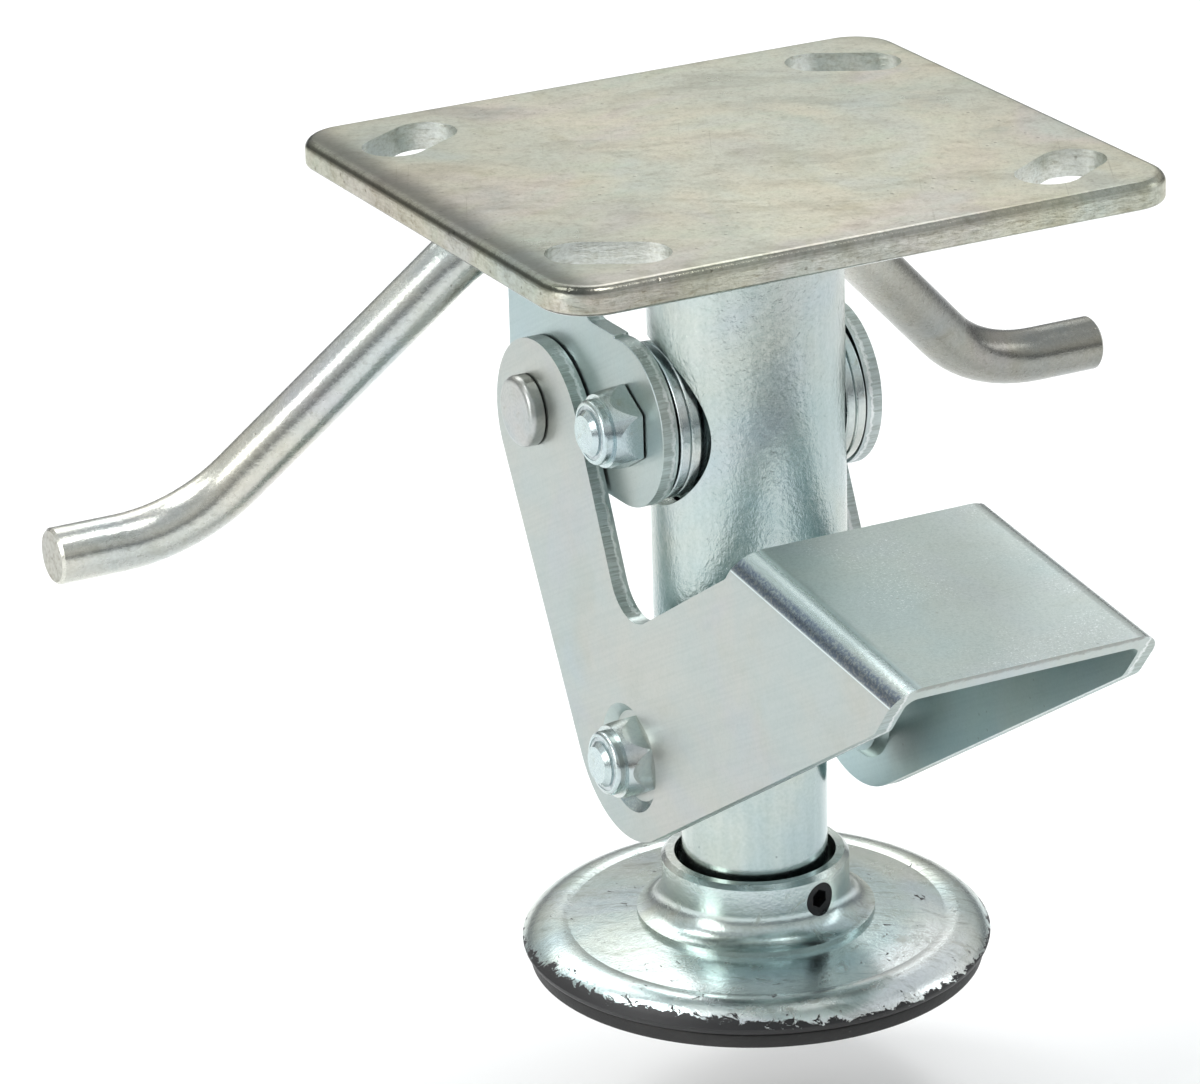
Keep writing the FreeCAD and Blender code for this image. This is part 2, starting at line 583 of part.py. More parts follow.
def make_return_spring():
    upper = SLEEVE_WAIST_RADIUS + SPRING_WIRE_RADIUS + SPRING_LOOP_PLAY
    lower = BOLT_RADIUS + SPRING_WIRE_RADIUS + SPRING_LOOP_PLAY
    upper_neck = PIVOT_A[1] - SLEEVE_OUTER_RADIUS - SPRING_NECK
    lower_neck = PIVOT_C[1] + lower + SPRING_NECK
    coil_top = upper_neck - SPRING_NECK
    coil_bottom = lower_neck + SPRING_NECK
    height = coil_top - coil_bottom
    helix = Part.makeHelix(height / SPRING_TURNS, height, SPRING_COIL_RADIUS)
    section = Part.Wire([Part.makeCircle(SPRING_WIRE_RADIUS, Vec(SPRING_COIL_RADIUS, 0, 0), Vec(0, 1, 0))])
    coil = Part.Wire(helix).makePipeShell([section], True, True)
    coil.translate(Vec(0, 0, coil_bottom))
    parts = [ring_loop(upper, PIVOT_A), coil, ring_loop(lower, PIVOT_C)]
    hooks = (
        (vec_yz((PIVOT_A[0], PIVOT_A[1] - upper)), vec_yz((PIVOT_A[0], upper_neck)), coil_top),
        (vec_yz((PIVOT_C[0], PIVOT_C[1] + lower)), vec_yz((PIVOT_C[0], lower_neck)), coil_bottom),
    )
    for root, neck, coil_end in hooks:
        tail = Vec(SPRING_COIL_RADIUS, 0, coil_end)
        for start, end in ((root, neck), (neck, tail)):
            way = end - start
            parts.append(Part.makeCylinder(SPRING_WIRE_RADIUS - SPRING_HOOK_DRAW, way.Length, start, way))
            parts.append(Part.makeSphere(SPRING_WIRE_RADIUS + SPRING_HOOK_DRAW, end))
    return parts[0].multiFuse(parts[1:])


def make_foot_collar():
    flare_z = DISC_TOP_Z + COLLAR_EDGE_HEIGHT
    blend = [(COLLAR_FLARE_RADIUS, DISC_TOP_Z), (COLLAR_FLARE_RADIUS, flare_z)]
    span = COLLAR_FLARE_RADIUS - COLLAR_OUTER_RADIUS
    start = Vec(COLLAR_FLARE_RADIUS, 0, flare_z)
    lean = math.radians(45)
    middle = Vec(COLLAR_FLARE_RADIUS - span * math.sin(lean), 0,
                 flare_z + COLLAR_FLARE_HEIGHT * (1 - math.cos(lean)))
    end = Vec(COLLAR_OUTER_RADIUS, 0, flare_z + COLLAR_FLARE_HEIGHT)
    corners = [
        end,
        Vec(COLLAR_OUTER_RADIUS, 0, COLLAR_TOP_Z - 0.8),
        Vec(COLLAR_OUTER_RADIUS - 0.8, 0, COLLAR_TOP_Z),
        Vec(COLLAR_BORE_RADIUS, 0, COLLAR_TOP_Z),
        Vec(COLLAR_BORE_RADIUS, 0, DISC_TOP_Z),
        Vec(blend[0][0], 0, blend[0][1]),
        start,
    ]
    edges = [Part.Arc(start, middle, end).toShape()]
    edges += [Part.LineSegment(a, b).toShape() for a, b in zip(corners, corners[1:])]
    collar = Part.Face(Part.Wire(edges)).revolve(Vec(0, 0, 0), AXIS_Z, 360)
    return collar.cut(radial_rod(SET_SCREW_RADIUS, 0, 2 * COLLAR_OUTER_RADIUS))


def radial_rod(radius, inner, outer):
    """Round bar along the set screw's line, between two distances from the plunger's axis."""
    heading = math.radians(SET_SCREW_AZIMUTH)
    way = Vec(math.cos(heading), math.sin(heading), 0)
    return Part.makeCylinder(radius, outer - inner, way * inner + Vec(0, 0, SET_SCREW_Z), way)


def make_set_screw():
    outer = COLLAR_OUTER_RADIUS - 0.3
    tip_face = PLUNGER_OUTER_RADIUS - FOOT_GROOVE_DEPTH + FACE_CLEARANCE
    body = radial_rod(SET_SCREW_RADIUS, COLLAR_BORE_RADIUS, outer)
    tip = radial_rod(SET_SCREW_TIP_RADIUS, tip_face, COLLAR_BORE_RADIUS + 0.5)
    screw = body.fuse(tip).removeSplitter()
    socket = hex_prism_side(SET_SCREW_SOCKET_FLATS, outer - SET_SCREW_SOCKET_DEPTH, outer + 1, 1, (0, 0))
    socket.rotate(Vec(0, 0, 0), AXIS_Z, SET_SCREW_AZIMUTH)
    socket.translate(Vec(0, 0, SET_SCREW_Z))
    return screw.cut(socket)


def dome_solid(thickness):
    """Low dome with a rounded rim that curls under, lowered and drawn in by a sheet thickness."""
    side = thickness * 0.8
    crown = Vec(DISC_CROWN_RADIUS, 0, DISC_TOP_Z - DISC_CROWN_DROP - thickness)
    widest = Vec(DISC_RADIUS_OUTER - side, 0, DISC_WIDEST_Z)
    rim = Vec(DISC_RIM_RADIUS - side, 0, DISC_RIM_Z)
    lean = math.radians(48)
    shoulder = Vec(crown.x + (widest.x - crown.x) * math.sin(lean), 0,
                   widest.z + (crown.z - widest.z) * math.cos(lean))
    curl = Vec(widest.x - (widest.x - rim.x) * 0.2, 0, widest.z + (rim.z - widest.z) * 0.6)
    corners = [
        rim,
        Vec(0, 0, DISC_RIM_Z),
        Vec(0, 0, DISC_TOP_Z - thickness),
        Vec(COLLAR_FLARE_RADIUS, 0, DISC_TOP_Z - thickness),
        crown,
    ]
    edges = [Part.Arc(crown, shoulder, widest).toShape(), Part.Arc(widest, curl, rim).toShape()]
    edges += [Part.LineSegment(a, b).toShape() for a, b in zip(corners, corners[1:])]
    return Part.Face(Part.Wire(edges)).revolve(Vec(0, 0, 0), AXIS_Z, 360)


def make_foot_disc():
    return dome_solid(0).cut(dome_solid(DISC_SHEET))


def make_foot_pad():
    base = rod_z(DISC_RIM_RADIUS, PAD_BOTTOM_Z, DISC_RIM_Z)
    lower = [e for e in base.Edges if e.BoundBox.ZMax < PAD_BOTTOM_Z + 0.01]
    base = base.makeFillet(PAD_EDGE_ROUNDING, lower)
    return base.fuse(dome_solid(DISC_SHEET)).removeSplitter()


def build_nodes():
    upper_face = ear_outer_x + FACE_CLEARANCE
    lower_face = cheek_outer_x - DIMPLE_DEPTH
    nodes = {
        "top_plate": make_top_plate(),
        "housing_tube": make_housing_tube(),
        "housing_weld": make_housing_weld(),
        "pivot_sleeve": make_pivot_sleeve(),
        "upper_bolt": make_cross_bolt(PIVOT_A, upper_face, upper_face),
        "upper_lock_nut": make_lock_nut(PIVOT_A, upper_face),
        "upper_nut_insert": make_nut_insert(PIVOT_A, upper_face),
        "release_bar": make_release_bar(),
        "bar_welds": make_bar_welds(),
        "crank_rivets": make_crank_rivets(),
        "pedal": make_pedal(),
        "lower_bolt": make_cross_bolt(PIVOT_C, lower_face, lower_face),
        "lower_lock_nut": make_lock_nut(PIVOT_C, lower_face),
        "lower_nut_insert": make_nut_insert(PIVOT_C, lower_face),
        "lower_spacers": make_lower_spacers(),
        "plunger_tube": make_plunger_tube(),
        "plunger_plug": make_plunger_plug(),
        "return_spring": make_return_spring(),
        "foot_collar": make_foot_collar(),
        "foot_set_screw": make_set_screw(),
        "foot_disc": make_foot_disc(),
        "foot_pad": make_foot_pad(),
    }
    for side in SIDES:
        nodes["pivot_discs_" + SIDE_NAMES[side]] = make_pivot_discs(side)
        nodes["crank_plate_" + SIDE_NAMES[side]] = make_crank_plate(side)
    return nodes


os.makedirs("parts", exist_ok=True)
for name, shape in build_nodes().items():
    shape.exportStep("parts/" + name + ".step")
    print(f"{name:20s} solids {len(shape.Solids)}  volume {shape.Volume:10.1f}  valid {shape.isValid()}")
start, end = linkage_at(0), linkage_at(math.radians(CRANK_SWING))
print(f"plunger travel {start[2] - end[2]:.4f} mm, pedal lean {math.degrees(end[3] - start[3]):.4f} degrees")
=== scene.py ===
import json
import math

import bpy
from mathutils import Matrix, Vector

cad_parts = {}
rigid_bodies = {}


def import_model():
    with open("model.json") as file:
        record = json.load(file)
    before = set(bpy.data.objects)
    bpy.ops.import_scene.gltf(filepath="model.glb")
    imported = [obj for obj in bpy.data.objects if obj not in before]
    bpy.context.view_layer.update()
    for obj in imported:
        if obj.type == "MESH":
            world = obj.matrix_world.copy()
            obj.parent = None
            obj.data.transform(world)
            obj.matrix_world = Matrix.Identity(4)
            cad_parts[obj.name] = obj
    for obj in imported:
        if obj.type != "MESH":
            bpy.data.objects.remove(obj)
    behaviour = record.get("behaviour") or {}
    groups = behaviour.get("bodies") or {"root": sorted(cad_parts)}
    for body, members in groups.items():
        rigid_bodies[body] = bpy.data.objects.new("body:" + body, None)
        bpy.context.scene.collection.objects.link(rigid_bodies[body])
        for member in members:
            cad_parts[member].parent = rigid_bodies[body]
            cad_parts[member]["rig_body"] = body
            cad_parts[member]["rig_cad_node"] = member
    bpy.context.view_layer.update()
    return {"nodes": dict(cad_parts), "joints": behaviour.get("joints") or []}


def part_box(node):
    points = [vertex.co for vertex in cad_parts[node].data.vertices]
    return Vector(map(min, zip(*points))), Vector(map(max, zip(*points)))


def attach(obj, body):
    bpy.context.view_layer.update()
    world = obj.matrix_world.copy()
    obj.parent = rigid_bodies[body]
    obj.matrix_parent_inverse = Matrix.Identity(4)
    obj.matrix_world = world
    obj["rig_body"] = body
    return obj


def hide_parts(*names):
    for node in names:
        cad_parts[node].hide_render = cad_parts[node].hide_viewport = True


bl_info = {
    "name": "Caster Floor Lock",
    "version": (1, 0, 0),
    "blender": (4, 5, 0),
    "location": "3D View > Sidebar > Floor Lock",
    "description": "Dresses a foot-operated floor lock in zinc, weld and moulded rubber",
    "category": "Object",
}

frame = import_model()

MM = 0.001
UNTURNED = (0, 0, 0)

# Weld bead, as shares of the weld's leg.
BEAD_SINK = 0.24
BEAD_RADIUS = 0.62
BEAD_SIDES = 14
BEAD_FULLEST = 1.08

# Moulded pad, in millimetres.
PAD_SIDES = 160
PAD_PLAY = 0.05
PAD_EDGE = 0.8
SOLE_MARGIN = 3.2
GROOVE_WALL = 0.5
GROOVE_DEPTH = 0.9
GROOVE_WIDTH = 1.4
GROOVE_SPACING = 3.4

# Sheet metal, in millimetres.
EAR_EDGE_SHARE = 1.8
EAR_TO_CHEEK = 0.4
LIP_BAND = 0.3

# Studio: metres for the floor, millimetres and degrees for the camera.
FLOOR_SIZE = 12.0
LAMP_AIM = (0, 0, -0.07)
CAMERA_PLACE = (-445.85, -809.57, 289.62)
CAMERA_TURN = -27.262
CAMERA_RISE = 21.198
CAMERA_ROLL_RADIANS = -0.0275
SENSOR_WIDTH = 36.0
LENS_PER_SENSOR_WIDTH = 5813.3 / 1200


def joint(name):
    return next(j for j in frame["joints"] if j["name"] == name)


def extent(node):
    """Lowest and highest corner of a node in millimetres."""
    low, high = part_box(node)
    return low / MM, high / MM


def middle(node):
    low, high = extent(node)
    return (low + high) / 2


def set_stops(ramp, stops):
    """Sets a colour ramp's stops, each a position and a colour."""
    while len(ramp.elements) < len(stops):
        ramp.elements.new(0.5)
    for element, (position, colour) in zip(ramp.elements, stops):
        element.position = position
        element.color = (*colour, 1.0)


# ---------------------------------------------------------------- shader maths


class Signal:
    """A number flowing through a material, used in plain arithmetic."""

    def __init__(self, finish, socket):
        self.finish = finish
        self.socket = socket

    def _math(self, operation, first, second=0.0):
        node = self.finish.node("ShaderNodeMath", {"operation": operation}, {0: first, 1: second})
        return Signal(self.finish, node.outputs[0])

    def __add__(self, other):
        return self._math("ADD", self, other)

    __radd__ = __add__

    def __sub__(self, other):
        return self._math("SUBTRACT", self, other)

    def __rsub__(self, other):
        return self._math("SUBTRACT", other, self)

    def __mul__(self, other):
        return self._math("MULTIPLY", self, other)

    __rmul__ = __mul__

    def __truediv__(self, other):
        return self._math("DIVIDE", self, other)

    def __abs__(self):
        return self._math("ABSOLUTE", self)

    def least(self, other):
        return self._math("MINIMUM", self, other)

    def most(self, other):
        return self._math("MAXIMUM", self, other)

    def wave(self):
        return self._math("SINE", self)

    def root(self):
        return self._math("SQRT", self)

    def step(self, low, high):
        """Eases from 0 at low to 1 at high; low above high falls instead."""
        node = self.finish.node(
            "ShaderNodeMapRange",
            {"interpolation_type": "SMOOTHSTEP"},
            {"Value": self, "From Min": low, "From Max": high},
        )
        return Signal(self.finish, node.outputs[0])


class Finish:
    """One procedural material. Lengths in its patterns are millimetres on the part."""

    def __init__(self, name):
        self.material = bpy.data.materials.new(name)
        self.material.use_nodes = True
        self.tree = self.material.node_tree
        self.tree.nodes.clear()
        self.shader = self.node("ShaderNodeBsdfPrincipled")
        self.node("ShaderNodeOutputMaterial", {}, {"Surface": self.shader.outputs[0]})
        coordinates = self.node("ShaderNodeTexCoord")
        self.place = self.vector("SCALE", coordinates.outputs["Object"], scale=1 / MM)
        split = self.node("ShaderNodeSeparateXYZ", {}, {0: self.place})
        self.x, self.y, self.z = (Signal(self, s) for s in split.outputs)
        facing = self.node("ShaderNodeSeparateXYZ", {}, {0: coordinates.outputs["Normal"]})
        self.nx, self.ny, self.nz = (Signal(self, s) for s in facing.outputs)

    def node(self, kind, settings=None, sockets=None):
        made = self.tree.nodes.new(kind)
        for key, value in (settings or {}).items():
            setattr(made, key, value)
        for key, value in (sockets or {}).items():
            self.feed(made.inputs[key], value)
        return made

    def feed(self, socket, value):
        """Links a signal to a socket, or sets the socket's own value."""
        if isinstance(value, Signal):
            value = value.socket
        if isinstance(value, bpy.types.NodeSocket):
            self.tree.links.new(value, socket)
        elif socket.type == "RGBA" and len(value) == 3:
            socket.default_value = (*value, 1.0)
        else:
            socket.default_value = value

    def vector(self, operation, first, second=None, scale=None):
        sockets = {0: first}
        if second is not None:
            sockets[1] = second
        if scale is not None:
            sockets["Scale"] = scale
        return self.node("ShaderNodeVectorMath", {"operation": operation}, sockets).outputs[0]

    def shifted(self, along):
        """The place moved, so that a second pattern differs from the first."""
        return self.vector("ADD", self.place, (along, 2 * along, -along))

    def point(self, x, y):
        """A place made from two numbers of its own."""
        return self.node("ShaderNodeCombineXYZ", {}, {0: x, 1: y}).outputs[0]

    def stretched(self, turn, size, shift=(0.0, 0.0, 0.0)):
        """The place turned by angles in degrees and then multiplied axis by axis."""
        turned = self.node(
            "ShaderNodeVectorRotate",
            {"rotation_type": "EULER_XYZ"},
            {"Vector": self.place, "Rotation": [math.radians(a) for a in turn]},
        ).outputs[0]
        return self.vector("ADD", self.vector("MULTIPLY", turned, size), shift)

    def noise(self, scale, detail=2.0, rough=0.5, warp=0.0, at=None):
        made = self.node(
            "ShaderNodeTexNoise",
            {"noise_dimensions": "3D"},
            {
                "Vector": at or self.place,
                "Scale": scale,
                "Detail": detail,
                "Roughness": rough,
                "Distortion": warp,
            },
        )
        return Signal(self, made.outputs[0])

    def cells(self, scale, at):
        """Distance to the nearest of scattered points, and a random number for each of them."""
        made = self.node("ShaderNodeTexVoronoi", {"feature": "F1"}, {"Vector": at, "Scale": scale})
        pick = self.node("ShaderNodeSeparateColor", {}, {0: made.outputs["Color"]})
        return Signal(self, made.outputs["Distance"]), Signal(self, pick.outputs[0])

    def mix(self, factor, first, second, blend="MIX"):
        made = self.node(
            "ShaderNodeMix",
            {"data_type": "RGBA", "blend_type": blend, "clamp_factor": True},
            {0: factor, 6: first, 7: second},
        )
        return made.outputs[2]

    def ramp(self, factor, stops):
        made = self.node("ShaderNodeValToRGB", {}, {0: factor})
        set_stops(made.color_ramp, stops)
        return made.outputs[0]

    def bump(self, height, depth, under=None):
        """A bump whose height signal of 1 stands for a depth in millimetres."""
        sockets = {"Height": height, "Distance": depth * MM, "Strength": 1.0}
        if under is not None:
            sockets["Normal"] = under
        return self.node("ShaderNodeBump", {}, sockets).outputs[0]

    def surface(self, **sockets):
        names = {
            "colour": "Base Color",
            "rough": "Roughness",
            "metal": "Metallic",
            "normal": "Normal",
            "specular": "Specular IOR Level",
        }
        for key, value in sockets.items():
            self.feed(self.shader.inputs[names[key]], value)
        return self.material


# ---------------------------------------------------------------- zinc plate


class Zinc(Finish):
    """Bright zinc plate with its clouding, passivate tints, flecks, fine scratches and pits."""

    def __init__(self, name, cool, warm, seed=0.0):
        super().__init__(name)
        self.shift = (seed * 13.7, seed * 7.1, seed * 3.3)
        self.seeded = self.vector("ADD", self.place, self.shift)
        self.cloud = self.noise(0.035, 3.0, 0.55, 0.4, self.seeded)
        self.grain = self.noise(1.7, 2.0, 0.6, 0.0, self.seeded)
        self.colour = self.mix(self.cloud.step(0.36, 0.64), cool, warm)

    def tint(self, amount):
        """The faint yellow, green and pink interference tints of the passivate."""
        veil = self.ramp(
            self.noise(0.022, 3.0, 0.5, 1.2, self.seeded),
            [
                (0.30, (0.90, 0.97, 1.00)),
                (0.42, (0.97, 1.00, 0.93)),
                (0.52, (1.00, 0.98, 0.90)),
                (0.60, (1.00, 0.95, 0.95)),
                (0.72, (0.93, 0.99, 0.99)),
            ],
        )
        self.colour = self.mix(amount, self.colour, veil, "MULTIPLY")

    def shade(self, mask, colour, amount=1.0):
        self.colour = self.mix(mask * amount, self.colour, colour, "MULTIPLY")

    def paint(self, mask, colour):
        self.colour = self.mix(mask, self.colour, colour)

    def blotches(self, amount, scale=0.16):
        patch = self.noise(scale, 5.0, 0.62, 0.3, self.seeded)
        self.shade(patch.step(0.52, 0.72), (0.86, 0.85, 0.80), amount)
        self.shade(patch.step(0.44, 0.30), (0.90, 0.94, 0.95), amount)
        return patch

    def drawn(self, detail, rough, size, turn=UNTURNED, warp=0.0, scale=1.0):
        """Noise stretched axis by axis, at a place of this finish's own."""
        return self.noise(scale, detail, rough, warp, self.stretched(turn, size, self.shift))

    def scratches(self, turn, width, length, keep):
        """Thin straight marks along one direction."""
        lines = self.drawn(1.0, 0.4, (length, width, width), turn)
        patches = self.noise(0.05, 1.0, 0.5, 0.0, self.seeded)
        return lines.step(keep, keep + 0.05) * patches.step(0.45, 0.6)

    def pits(self, scale, share, size):
        distance, pick = self.cells(scale, self.seeded)
        return distance.step(size, size * 0.5) * pick.step(1 - share, 1 - share + 0.02)


def dulled(colour, share):
    return tuple(share * c for c in colour)


def finish_plate(tint):
    """Hot-rolled plate under warm zinc, its top edge rolled over by the press tool."""
    m = Zinc("plate_zinc", tint.cool_plate, tint.warm_plate, 1)
    m.tint(0.9)
    patch = m.blotches(0.9, 0.09)
    rolled = m.stretched((0, 0, 20), (0.05, 0.11, 0.1), (3.0, 8.0, 0.0))
    smear = m.noise(1.0, 4.0, 0.7, 0.5, rolled)
    m.shade(smear.step(0.48, 0.64), (0.82, 0.81, 0.79), 0.9)
    m.shade(smear.step(0.46, 0.34), (0.95, 0.99, 0.97), 0.8)
    speckle = m.noise(0.75, 4.0, 0.75, 0.0, m.seeded)
    m.shade(speckle.step(0.50, 0.68), (0.80, 0.79, 0.76), 0.95)
    flat = m.nz.step(0.93, 0.995)
    side = abs(m.nz).step(0.55, 0.25)
    roll = (1 - flat) * (1 - side)
    drag = m.scratches((0, 0, 24), 2.2, 0.02, 0.69) + m.scratches((0, 0, -63), 2.0, 0.03, 0.71)
    pit = m.pits(0.42, 0.22, 0.16)
    pick = m.cells(1.5, m.seeded)[1]
    sheared = m.stretched(UNTURNED, (0.45, 0.45, 1.6), (4.0, 0.0, 0.0))
    torn = m.noise(0.9, 4.0, 0.7, 0.0, sheared)
    low, high = extent("top_plate")
    wander = 2.4 * (m.noise(0.12, 3.0, 0.6, 0.0, m.seeded) - 0.5)
    from_left = m.x - low.x + wander
    inward = from_left.least(high.x - m.x).least(m.y - low.y).least(high.y - m.y)
    # Painted shade: the top darkens towards its outer edges and strongly along its left edge, the
    # rolled edge is darkened, and the whole plate darkens towards the left, standing in for dark
    # surroundings reflected there.
    m.shade((1 - side) * inward.step(4.5, 1.0), (0.86, 0.86, 0.84), 0.8)
    m.shade((1 - side) * from_left.step(9.0, 2.5), (0.22, 0.23, 0.22), 0.9)
    m.shade(roll, (0.74, 0.74, 0.72), 0.8)
    m.shade(m.x.step(-4.0, low.x), (0.78, 0.79, 0.79), 0.9)
    # Painted light: faces turned downwards are lightened, standing in for the lit floor they
    # reflect.
    m.paint(m.nz.step(-0.5, -0.9) * 0.8, (0.86, 0.90, 0.90))
    # Painted light: the walls of the slots are lightened.
    lit_slot_wall = side * inward.step(2.5, 4.5)
    m.paint(lit_slot_wall * 0.45, (0.80, 0.84, 0.86))
    m.shade(side * torn.step(0.45, 0.62), (0.84, 0.83, 0.79), 0.8)
    m.shade(side * torn.step(0.60, 0.70), (0.52, 0.45, 0.40), 0.5)
    m.shade(pit, (0.45, 0.43, 0.40), 0.7)
    m.shade(m.grain.step(0.40, 0.66), (0.88, 0.88, 0.87))
    m.shade(drag, (0.72, 0.71, 0.68), 0.6)
    rough = 0.30 + 0.10 * (m.cloud - 0.5) + 0.10 * (patch - 0.5) + 0.06 * pick * side
    rough = rough + 0.05 * side - 0.06 * roll
    relief = m.bump(m.noise(0.30, 3.0, 0.6, 0.0, m.seeded), 0.05)
    relief = m.bump(m.grain * (0.4 + 1.2 * roll + side) - pit * 2.0, 0.016, relief)
    relief = m.bump(torn * side, 0.16, relief)
    return m.surface(colour=m.colour, rough=rough, metal=1.0, normal=relief)


def finish_tube(name, tint, peel, seed, rough, dull=0.95):
    """Drawn tube: bright zinc with a hammered orange-peel that breaks up its highlights."""
    m = Zinc(name, dulled(tint.cool_tube, dull), dulled(tint.warm_tube, dull), seed)
    m.tint(0.45)
    m.blotches(0.35, 0.12)
    streak = m.drawn(2.0, 0.5, (0.7, 0.7, 0.035))
    m.shade(streak.step(0.35, 0.65), (0.94, 0.95, 0.95))
    m.shade(m.grain.step(0.35, 0.68), (0.90, 0.92, 0.92))
    pit = m.pits(0.5, 0.15, 0.12)
    m.shade(pit, (0.5, 0.5, 0.5), 0.6)
    dents = m.drawn(4.0, 0.68, (1.0, 1.0, 0.7), warp=0.2)
    shine = rough + 0.10 * (m.cloud - 0.5) + 0.07 * (streak - 0.5)
    relief = m.bump(dents, peel)
    relief = m.bump(m.grain - pit, 0.012, relief)
    return m.surface(colour=m.colour, rough=shine, metal=1.0, normal=relief)


def finish_sheet(name, tint, outer, inner, seed, lip_top=None):
    """Pressed sheet: satin faces, and walls that the punch left half bright and half torn."""
    m = Zinc(name, tint.cool_sheet, tint.warm_sheet, seed)
    m.tint(0.4)
    patch = m.blotches(0.35, 0.07)
    face = abs(m.nx).step(0.80, 0.97)
    bend = abs(m.nx).step(0.10, 0.35) * abs(m.nx).step(0.97, 0.85) * m.nz.step(0.2, 0.45)
    wall = abs(m.nx).step(0.55, 0.25) * abs(m.nz).step(0.99, 0.96)
    through = (abs(m.x) - inner) / (outer - inner)
    ragged = through + 0.6 * (m.noise(0.8, 3.0, 0.65, 0.0, m.seeded) - 0.5)
    torn = wall * ragged.step(0.30, 0.42)
    line = wall * ragged.step(0.16, 0.28) * ragged.step(0.46, 0.34)
    stria = m.drawn(3.0, 0.7, (0.12, 2.6, 2.6))
    brushed = m.drawn(2.0, 0.6, (1.0, 0.05, 1.9), (28, 0, 0))
    drag = m.scratches((61, 0, 0), 2.4, 0.03, 0.70) + m.scratches((-12, 0, 0), 2.0, 0.04, 0.72)
    pit = m.pits(0.33, 0.18, 0.10)
    # Painted shade: the flat faces are darkened, the outward ones with a warm or grey shade and the
    # inward ones darker and cooler, standing in for the floor and the dark inside they reflect.
    outward = (m.nx * m.x).step(0.0, 5.0)
    outer_face_shade = (0.765, 0.77, 0.765) if lip_top is None else (0.81, 0.755, 0.735)
    m.shade(face * outward, outer_face_shade)
    m.shade(face * (1 - outward), (0.74, 0.80, 0.81))
    # Painted light: faces turned upwards are lightened.
    m.paint(m.nz.step(0.75, 0.95) * 0.16, (0.80, 0.87, 0.86))
    m.shade(face * brushed.step(0.40, 0.66), (0.96, 0.965, 0.97))
    m.shade(m.grain.step(0.38, 0.66), (0.95, 0.96, 0.96))
    m.shade(torn * stria.step(0.40, 0.62), (0.66, 0.66, 0.64), 0.8)
    m.shade(pit, (0.50, 0.49, 0.46), 0.55)
    m.shade(drag, (0.80, 0.80, 0.80), 0.5)
    m.paint(line * 0.6, (0.93, 0.95, 0.95))
    sparkle = m.noise(1.9, 4.0, 0.75, 0.0, m.seeded)
    fold = (0 - m.nx) * m.nz.step(0.12, 0.30)
    fold_shade_band = fold.step(0.66, 0.80) * fold.step(0.985, 0.95)
    tread = m.nz.step(0.75, 0.95)
    glints = m.noise(2.7, 3.0, 0.7, 0.0, m.seeded).step(0.56, 0.66)
    glow = m.noise(0.055, 2.0, 0.5, 0.3, m.shifted(4.0)).step(0.50, 0.62)
    m.paint(tread * glints * (0.18 + 0.55 * glow), (0.93, 0.97, 0.97))
    m.shade(tread * sparkle.step(0.46, 0.66), (0.84, 0.86, 0.86), 0.8)
    if lip_top is not None:
        lip = m.ny.step(-0.5, -0.85) * abs(m.x).step(inner, inner - 1.0)
        uneven = 0.55 * (m.noise(0.9, 4.0, 0.7, 0.0, m.seeded) - 0.5)
        depth = (lip_top - m.z) / (outer - inner) + uneven
        m.shade(lip * depth.step(0.40, 0.18), (0.50, 0.47, 0.45), 0.85)
    # Painted highlight: a bright bluish band along the fold between cheek and tread; below it,
    # where the fold meets the cheek, a speckled painted dark reflection.
    m.paint(fold.step(0.06, 0.20) * fold.step(0.62, 0.45) * 0.75, (0.74, 0.84, 0.86))
    m.shade(fold_shade_band * (0.35 + sparkle.step(0.38, 0.58)), (0.42, 0.47, 0.62), 0.8)
    rough = 0.33 + 0.08 * (m.cloud - 0.5) + 0.06 * (brushed - 0.5) + 0.10 * torn - 0.07 * bend
    rough = rough + 0.05 * (patch - 0.5)
    relief = m.bump(m.noise(0.12, 3.0, 0.5, 0.0, m.seeded), 0.07)
    raised = m.grain * (0.5 + 1.6 * bend) - pit * 1.5 + sparkle * (bend + fold_shade_band)
    relief = m.bump(raised, 0.016, relief)
    relief = m.bump(stria * torn + line * 0.5, 0.14, relief)
    return m.surface(colour=m.colour, rough=rough, metal=1.0, normal=relief)


def finish_bar(tint):
    """Cold-bent round bar: glossy zinc over long drawing lines, with speckled highlights."""
    m = Zinc("bar_zinc", tint.cool_bar, tint.warm_bar, 5)
    m.tint(0.5)
    m.blotches(0.55, 0.20)
    end = abs(m.nx).step(0.93, 0.99) * abs(m.x).step(102.0, 103.5)
    speck = m.drawn(3.0, 0.65, (0.45, 1.0, 1.0), scale=1.2)
    m.shade(m.grain.step(0.38, 0.66), (0.90, 0.90, 0.89))
    # Painted shade: the right arm of the bar is darkened.
    m.shade(m.x.step(34.0, 60.0), (0.42, 0.42, 0.42), 0.85)
    m.shade(speck.step(0.60, 0.75), (0.70, 0.68, 0.64), 0.6)
    m.shade(end, (0.72, 0.72, 0.72))
    m.shade(end * speck.step(0.40, 0.62), (0.72, 0.70, 0.66), 0.7)
    pit = m.pits(0.5, 0.12, 0.12)
    m.shade(pit, (0.42, 0.38, 0.34), 0.7)
    rough = 0.25 + 0.10 * (m.cloud - 0.5) + 0.14 * speck.step(0.5, 0.8) + 0.12 * end
    relief = m.bump(speck, 0.035)
    relief = m.bump(m.grain - pit, 0.016, relief)
    return m.surface(colour=m.colour, rough=rough, metal=1.0, normal=relief)


